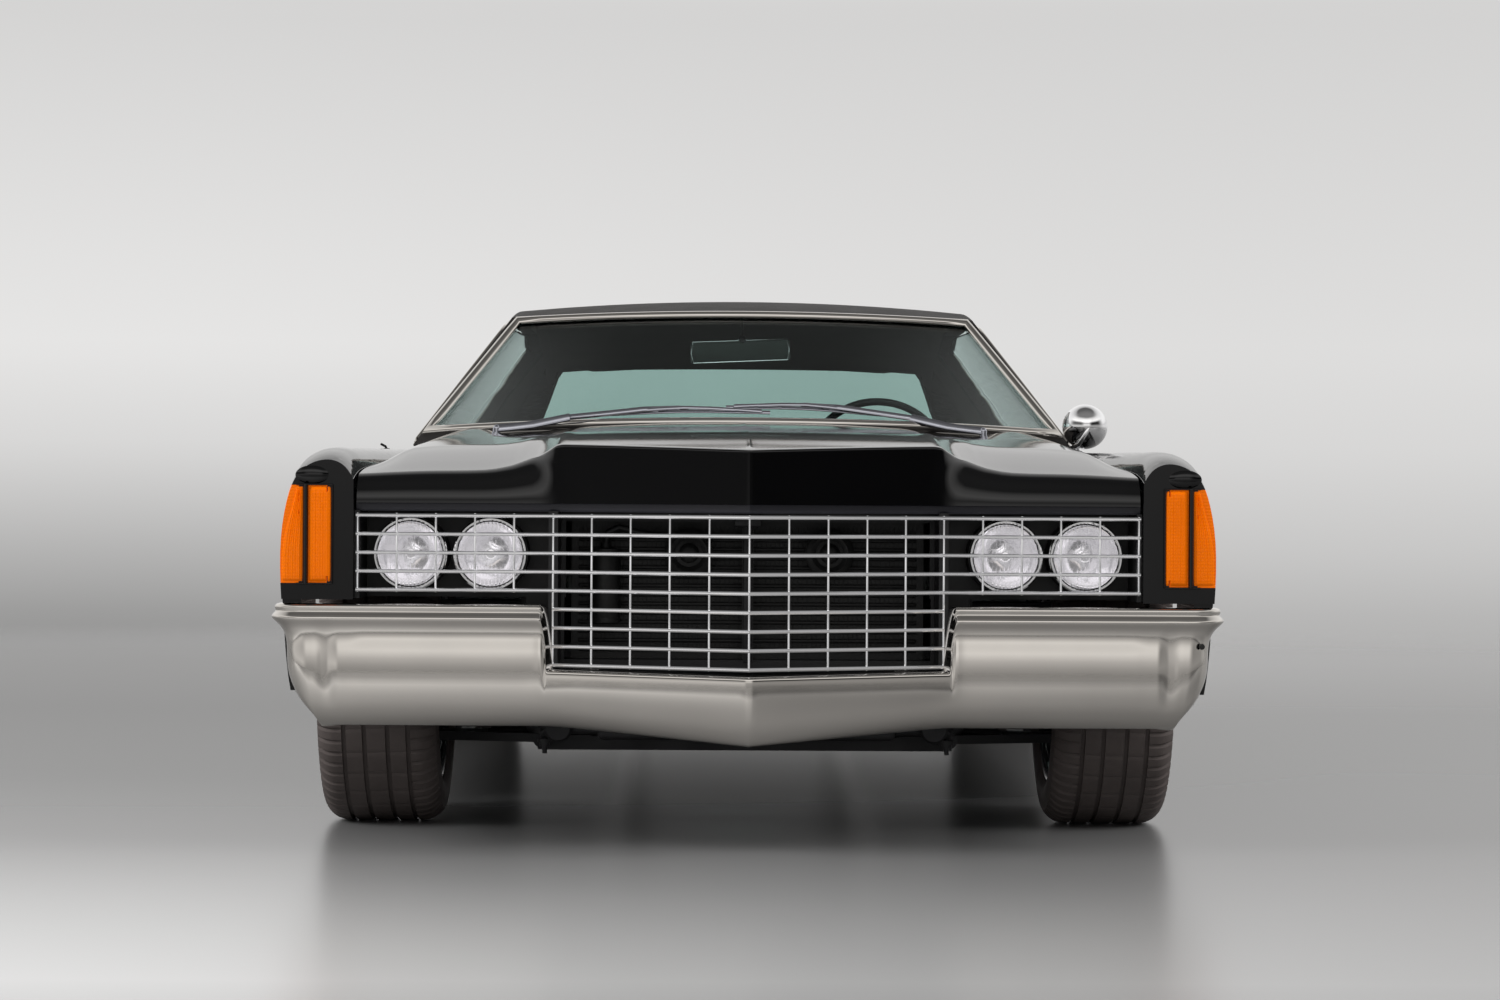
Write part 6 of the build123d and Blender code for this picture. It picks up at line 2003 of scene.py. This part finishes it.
@dataclass
class Cabin:
    """Seats, dashboard, steering wheel, mirror, trim and carpets."""

    seat_x: float = 0.355
    wheel_at: Point = (0.375, -0.246, 0.833)
    tilt: float = 18.55
    rim_r: float = 0.195
    horn_r: float = 0.105
    fill: float = 0.75

    def _seat_row(self) -> None:
        """Builds the front seats and the rear bench."""
        for side, word in SIDES:
            x = self.seat_x * side
            cushion = Pad(f"front_cushion_{word}", (0.565, 0.515, 0.160), 7).build(
                Matrix.Translation((x, -0.070, 0.352)) @ Matrix.Rotation(math.radians(2.0), 4, "X"))
            lean = Matrix.Rotation(math.radians(81.5), 4, "X")
            back = Pad(f"front_backrest_{word}", (0.560, 0.560, 0.095), 7).build(
                Matrix.Translation((x, 0.268, 0.578)) @ lean)
            for piece in (cushion, back):
                Shop.dress(piece, SEAT_LEATHER, "body", "seat_leather",
                           ["front_seats"] if side > 0 and piece is cushion else (), 60)
            base = Shop.brick(f"front_seat_base_{word}", (x - 0.235, -0.300, 0.2365),
                              (x + 0.235, 0.175, 0.285), 0.012)
            Shop.dress(base, DASH_PLASTIC, "body", "dash_plastic")
            shell = Shop.brick(f"front_seat_shell_{word}", (x - 0.262, -0.022, -0.238),
                               (x + 0.262, 0.0, 0.262), 0.010)
            shell.data.transform(Matrix.Translation((0.0, 0.330, 0.575))
                                 @ Matrix.Rotation(math.radians(-8.5), 4, "X"))
            Shop.dress(shell, DASH_PLASTIC, "body", "dash_plastic")
        bench = Pad("rear_cushion", (1.190, 0.515, 0.155), 14, columns=161).build(
            Matrix.Translation((0.0, 0.900, 0.450)) @ Matrix.Rotation(math.radians(2.0), 4, "X"))
        back = Pad("rear_backrest", (1.185, 0.440, 0.090), 14, columns=161).build(
            Matrix.Translation((0.0, 1.205, 0.622)) @ Matrix.Rotation(math.radians(84.0), 4, "X"))
        Shop.dress(bench, SEAT_LEATHER, "body", "seat_leather", ["rear_seat"], angle=60)
        Shop.dress(back, SEAT_LEATHER, "body", "seat_leather", angle=60)

    def _steering(self) -> None:
        """Builds the steering wheel."""
        turn = Matrix.Translation(self.wheel_at) @ Matrix.Rotation(math.radians(-90 + self.tilt), 4,
                                                                   "X")
        rim_path = []
        for k in range(96):
            a = 2 * math.pi * k / 96
            rim_path.append(Vector((math.cos(a) * self.rim_r, math.sin(a) * self.rim_r, 0.0)))
        out = [p.normalized() for p in rim_path]
        rim = Shop.sweep("rim", rim_path, out, Shop.ring(0.023, 0.021, 12), True)
        hub = Shop.turned("hub",
                          ((-0.008, 0.0), (-0.008, 0.030), (0.002, 0.043), (0.010, 0.043),
                           (0.017, 0.036), (0.021, 0.020), (0.0215, 0.0)), (0, 0, 0), "Z", 1.0, 48)
        arms = []
        for side, _ in SIDES:
            path = [(0.036 * side, 0.0, 0.006), (0.085 * side, -0.004, 0.004),
                    (0.140 * side, -0.003, 0.0), (0.186 * side, 0.0, 0.0)]
            arms.append(Shop.bar("arm", path, UP, 0.030, 0.008, 12))
        wheel = Shop.join("steering_wheel_rim", [rim, hub] + arms)
        wheel.data.transform(turn)
        Shop.dress(wheel, DASH_PLASTIC, "steering_wheel", "dash_plastic", ["steering_wheel"],
                   angle=40)
        horn_path = []
        for k in range(33):
            a = math.pi * (1.08 + 0.84 * k / 32)
            horn_path.append(Vector((math.cos(a) * self.horn_r, math.sin(a) * self.horn_r, 0.008)))
        horn = Shop.bar("horn_ring", horn_path, UP, 0.008, 0.006, 8)
        horn.data.transform(turn)
        bezel = Shop.turned("hub_ring",
                            ((0.0172, 0.036), (0.0192, 0.034), (0.0195, 0.031), (0.0180, 0.0295)),
                            (0, 0, 0), "Z", 1.0, 48)
        bezel.data.transform(turn)
        Shop.dress(Shop.join("steering_wheel_bright", [horn, bezel]), BRIGHT_CHROME,
                   "steering_wheel", "polished_chrome")

    def _dash(self) -> None:
        """Builds the dashboard's padded brow, instruments, switches and glovebox."""
        path = [(x, -0.432 + 0.012 * (x / 0.73) ** 2, 0.826) for x in spread(-0.735, 0.735, 31)]
        brow = Shop.bar("dash_brow", path, (0, 0.5, 0.86), 0.052, 0.034, 14)
        Shop.dress(brow, DASH_PLASTIC, "body", "dash_plastic", angle=50)
        face_y, r = -0.4285, 0.042
        bright = []
        pieces = [Shop.brick(name, (x0, face_y - 0.004, z0), (x1, face_y + proud, z1), edge)
                  for name, x0, x1, z0, z1, proud, edge in (
                      ("cluster", 0.150, 0.640, 0.675, 0.790, 0.016, 0.010),
                      ("glovebox", -0.640, -0.210, 0.655, 0.785, 0.009, 0.008),
                      ("radio", -0.150, 0.110, 0.690, 0.770, 0.012, 0.006))]
        for x in (0.235, 0.345, 0.455, 0.560):
            bright.append(Shop.turned("dial_ring",
                                      ((0.0150, r), (0.0195, r - 0.001), (0.0200, r - 0.004),
                                       (0.0165, r - 0.006)), (x, face_y, 0.732), "Y", 1.0, 48))
            bright.append(Shop.turned("needle_hub",
                                      ((0.0165, 0.0), (0.0165, 0.005), (0.0190, 0.004),
                                       (0.0190, 0.0)), (x, face_y, 0.732), "Y", 1.0, 20))
        for x in (-0.125, 0.085):
            bright.append(Shop.turned("knob",
                                      ((0.010, 0.0), (0.010, 0.012), (0.026, 0.0105),
                                       (0.028, 0.008), (0.028, 0.0)), (x, face_y, 0.730), "Y", 1.0,
                                      24))
        bright.append(Shop.brick("dash_strip", (-0.700, face_y - 0.002, 0.640),
                                 (0.700, face_y + 0.005, 0.648), 0.002))
        bright.append(Shop.brick("glovebox_latch", (-0.445, face_y + 0.006, 0.762),
                                 (-0.405, face_y + 0.014, 0.774), 0.003))
        Shop.dress(Shop.join("dash_fittings", pieces), DASH_PLASTIC, "body", "dash_plastic")
        Shop.dress(Shop.join("dash_bright", bright), BRIGHT_CHROME, "body", "polished_chrome")

    def _mirror(self) -> None:
        """Builds the interior mirror with its stem."""
        tilt = Matrix.Translation((-0.005, -0.2525,
                                   1.157)) @ Matrix.Rotation(math.radians(-2.5), 4, "Y")
        body = Shop.brick("inner_mirror_case", (-0.138, -0.009, -0.031), (0.138, 0.009, 0.031),
                          0.0085, 4)
        body.data.transform(tilt)
        Shop.dress(body, MIRROR_CASE, "body", "dash_plastic", ["interior_mirror"])
        edge = Shop.wire("edge",
                         [(-0.130, -0.0085, -0.029), (-0.136, -0.0085, 0.0),
                          (-0.130, -0.0085, 0.029), (0.130, -0.0085, 0.029), (0.136, -0.0085, 0.0),
                          (0.130, -0.0085, -0.029)], 0.0020, AHEAD, 8, True)
        edge.data.transform(tilt)
        stem = Shop.wire("stem",
                         [(0, -0.2475, 1.170), (0, -0.244, 1.200), (0, -0.238, 1.225),
                          (0, -0.234, 1.2505)], 0.0042, AHEAD, 12)
        ball = Shop.turned("ball",
                           ((-0.013, 0.0), (-0.009, 0.009), (0.0, 0.0128), (0.009, 0.009),
                            (0.013, 0.0)), (0.0, -0.262, 1.190), "Z", 1.0, 24)
        Shop.dress(Shop.join("inner_mirror_bright", [stem, ball, edge]), BRIGHT_CHROME, "body",
                   "polished_chrome")
        face = Shop.brick("inner_mirror_glass", (-0.131, 0.0088, -0.025), (0.131, 0.0106, 0.025),
                          0.0006, 2)
        face.data.transform(tilt)
        Shop.dress(face, MIRROR_GLASS, "body", "polished_chrome")

    def _trim(self) -> None:
        """Builds the door cards, the carpets and the tunnel's cover."""
        for side, word in SIDES:
            inner = Skin("door_" + word).cast((0.5 * side, -0.10, 0.70), (side, 0, 0))[0]
            x = abs(inner.x) if inner else 0.87

            def plate(name: str, xs: Spot, ys: Spot, zs: Spot, edge: float, segments: int) -> Piece:
                """Box on the door's inside, xs counted from its face."""
                low, high = sorted(((x + xs[0]) * side, (x + xs[1]) * side))
                return Shop.brick(name, (low, ys[0], zs[0]), (high, ys[1], zs[1]), edge, segments)

            rest = plate("armrest", (-0.052, 0.002), (-0.330, 0.110), (0.560, 0.615), 0.018, 5)
            panel = plate("card", (-0.010, 0.002), (-0.600, 0.470), (0.420, 0.790), 0.006, 3)
            Shop.dress(Shop.join("door_card_" + word, [panel, rest]), SEAT_LEATHER, "door_" + word,
                       "seat_leather")
            strip = plate("strip", (-0.014, -0.008), (-0.590, 0.460), (0.735, 0.745), 0.002, 2)
            crank = Shop.turned("crank",
                                ((-0.004, 0.0), (-0.004, 0.018), (0.010, 0.014), (0.014, 0.006),
                                 (0.014, 0.0)), ((x - 0.012) * side, -0.420, 0.640), "X", -side, 28)
            path = [((x - out) * side, y, z) for out, y, z in (
                (0.022, -0.420, 0.640), (0.030, -0.390, 0.600), (0.034, -0.368, 0.575))]
            arm = Shop.bar("crank_arm", path, (-side, 0, 0), 0.014, 0.006, 10)
            Shop.dress(Shop.join("door_card_bright_" + word, [strip, crank, arm]), BRIGHT_CHROME,
                       "door_" + word, "polished_chrome")
        mats = [Shop.brick("mat", (-0.78, -0.765, 0.2355), (0.78, -0.32, 0.2455), 0.004),
                Shop.brick("mat", (-0.78, -0.32, 0.2355), (0.78, 0.615, 0.2430), 0.003)]
        Shop.dress(Shop.join("carpet", mats), CARPET, "body", "seat_leather")
        tunnel = Shop.lattice("tunnel", 13, 31, lambda c, r: (
            -0.13 + 0.26 * c / 12, -0.74 + 1.34 * r / 30,
            0.2440 + 0.062 * math.sin(math.pi * c / 12) ** 0.6 * (1 if 0 < c < 12 else 0)))
        Shop.modify(tunnel, "SOLIDIFY", thickness=0.004, offset=-1.0)
        Shop.dress(tunnel, CARPET, "body", "seat_leather", angle=50)

    def build(self) -> None:
        """Builds the whole cabin."""
        self._seat_row()
        self._steering()
        self._dash()
        self._mirror()
        self._trim()
        Lining().build()


# ---- behind the grille -------------------------------------------------------------------------
@dataclass
class FrontBay:
    """Horns, cooling fins, latch brace and hoses behind the grille."""

    y: float = -2.340

    def build(self) -> None:
        """Builds the pieces seen through the grille."""
        fins, dark = [], []
        for i in range(13):
            z = 0.420 + 0.020 * i
            fins.append(Shop.brick("tube", (-0.368, self.y - 0.004, z - 0.0025),
                                   (0.368, self.y + 0.001, z + 0.0025), 0.0012, 2))
        for x in spread(-0.36, 0.36, 73):
            fins.append(Shop.brick("fin", (x - 0.0008, self.y - 0.002, 0.412),
                                   (x + 0.0008, self.y + 0.001, 0.690), 0.0004, 1))
        Shop.dress(Shop.join("cooling_fins", fins), RADIATOR_BLACK, "body", "radiator_black")
        for x in (-0.128, 0.178):
            dark.append(Shop.turned("horn",
                                    ((0.058, 0.0), (0.058, 0.012), (0.054, 0.018), (0.047, 0.022),
                                     (0.045, 0.030), (0.050, 0.036), (0.052, 0.040), (0.049, 0.044),
                                     (0.047, 0.049), (0.043, 0.053), (0.038, 0.053),
                                     (0.034, 0.050)), (x, -2.350, 0.632), "Y", -1.0, 56))
            for k in range(6):
                a = math.pi * k / 3
                dark.append(Shop.turned("screw",
                                        ((0.050, 0.0), (0.050, 0.0035), (0.046, 0.0045),
                                         (0.046, 0.0)),
                                        (x + math.cos(a) * 0.0405, -2.350,
                                         0.632 + math.sin(a) * 0.0405), "Y", -1.0, 8))
        dark.append(Shop.turned("drier",
                                ((-0.076, 0.0), (-0.080, 0.012), (-0.078, 0.028), (-0.066, 0.0335),
                                 (0.066, 0.0335), (0.078, 0.028), (0.082, 0.012), (0.094, 0.010),
                                 (0.094, 0.0)), (-0.310, -2.376, 0.560), "Z", 1.0, 36))
        dark.append(Shop.wire("line",
                              [(-0.310, -2.376, 0.650), (-0.306, -2.382, 0.676),
                               (-0.280, -2.386, 0.688), (-0.235, -2.384, 0.676),
                               (-0.180, -2.378, 0.668)], 0.006, AHEAD, 10))
        Shop.dress(Shop.join("horns_and_lines", dark), RADIATOR_BLACK, "body", "radiator_black",
                   angle=40)
        brace = [Shop.brick("brace", (-0.010, -2.408, 0.395), (0.010, -2.398, 0.716), 0.003),
                 Shop.brick("latch", (-0.030, -2.420, 0.690), (0.030, -2.398, 0.722), 0.004)]
        Shop.dress(Shop.join("latch_brace", brace), BLACK_STRUCTURE, "body", "black_structure")


# ---- tail --------------------------------------------------------------------------------------
@dataclass
class Tail:
    """Tail lamps, blank plate, exhaust tips and trunk fittings."""

    def build(self) -> None:
        """Builds the tail."""
        bright, red = [], []
        for side, _ in SIDES:
            low, high = sorted((0.898 * side, 0.974 * side))
            bright.append(Shop.wire("bezel",
                                    [(low, 2.7155, 0.476), (low, 2.7155, 0.814),
                                     (high, 2.7155, 0.814), (high, 2.7155, 0.476)], 0.0045, BACK, 8,
                                    True))
        plate = Shop.brick("rear_plate", (-0.152, 2.6945, 0.562), (0.152, 2.6965, 0.714), 0.0009, 2)
        Shop.dress(plate, PLATE_WHITE, "body", "bare_steel")
        bright.append(Shop.wire("plate_frame",
                                [(-0.153, 2.697, 0.561), (-0.153, 2.697, 0.715),
                                 (0.153, 2.697, 0.715), (0.153, 2.697, 0.561)], 0.0038, BACK, 8,
                                True))
        for x in (-0.089, 0.089):
            bright.append(Shop.turned("screw",
                                      ((-0.006, 0.003), (0.002, 0.003), (0.002, 0.0065),
                                       (0.005, 0.0055), (0.006, 0.0)), (x, 2.6965, 0.640), "Y", 1.0,
                                      16))
        for z in (0.505, 0.835):
            bright.append(Shop.brick("tail_strip", (-0.688, 2.6935, z - 0.005),
                                     (0.688, 2.6985, z + 0.005), 0.002, 3))
        bright.append(Shop.turned("lock",
                                  ((0.0, 0.016), (0.004, 0.016), (0.006, 0.013), (0.0065, 0.0)),
                                  (0.0, 2.6945, 0.775), "Y", 1.0, 32))
        for x in (-0.33, 0.33):
            bright.append(Shop.turned("tip",
                                      ((0.0, 0.0262), (0.006, 0.0262), (0.0075, 0.0240),
                                       (0.0062, 0.0222), (-0.050, 0.0215), (-0.050, 0.0)),
                                      (x, 2.7405, 0.270), "Y", 1.0, 40))
        Shop.dress(Shop.join("tail_bright", bright), CHROME, "body", "polished_chrome", angle=40)
        for side, _ in SIDES:
            for i in range(3):
                z = 0.5 + 0.11 * i
                low, high = sorted((0.906 * side, 0.966 * side))
                red.append(Shop.brick("lens", (low, 2.7155, z - 0.014), (high, 2.7190, z + 0.076),
                                      0.0035, 4))
        Shop.dress(Shop.join("tail_lenses", red), RED_LENS, "body", "red_lens")


# ---- CAD nodes that stay -----------------------------------------------------------------------
KEPT: Sequence[tuple[Finish,
                     Sequence[str]]] = (
    (BLACK_PAINT,
     ("fender_left", "fender_right", "door_left", "door_right", "quarter_panel_left",
      "quarter_panel_right", "hood", "trunk_lid", "rear_deck", "tail_panel")),
    (ROOF_GRAIN, ("roof_panel",)),
    (BLACK_STRUCTURE,
     ("chassis_frame", "floor_pan", "firewall", "nose_panel", "inner_fenders", "headlamp_buckets",
      "hinge_brackets", "rear_axle", "fuel_tank")), (TINTED_GLASS, ("windshield",)),
    (REAR_GLASS, ("backlight",)),
    (SIDE_GLASS, ("door_glass_left", "door_glass_right", "quarter_glass")),
    (AMBER, ("corner_lamps",)), (RED_LENS, ("tail_lamps",)),
    (CHROME, ("rear_bumper", "door_mirror", "wipers")),
    (CAST_METAL,
     ("engine_block", "front_suspension", "knuckle_left", "knuckle_right", "steering_link")),
    (BARE_STEEL, ("drive_shafts", "exhaust")), (RADIATOR_BLACK, ("radiator",)),
    (DASH_PLASTIC, ("dashboard", "steering_wheel", "interior_mirror")),
    (SEAT_LEATHER, ("front_seats", "rear_seat")),)


def dress_nodes() -> None:
    """Gives every CAD node that stays its finish."""
    for finish, names in KEPT:
        for name in names:
            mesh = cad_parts[name].data
            mesh.materials.clear()
            mesh.materials.append(finish.material())


def main() -> None:
    """Builds the whole scene."""
    logging.basicConfig(level=logging.INFO)
    dress_nodes()
    Studio().build()
    FrontBumper().build()
    Grille().build()
    Headlamps().build()
    FrontBay().build()
    CornerLamps().build()
    GlassTrim().build()
    SideTrim().build()
    HoodSkin().build()
    Underbody().build()
    Wipers().build()
    DoorMirror().build()
    Cabin().build()
    Tail().build()
    Running.build()


if __name__ == "__main__":
    main()
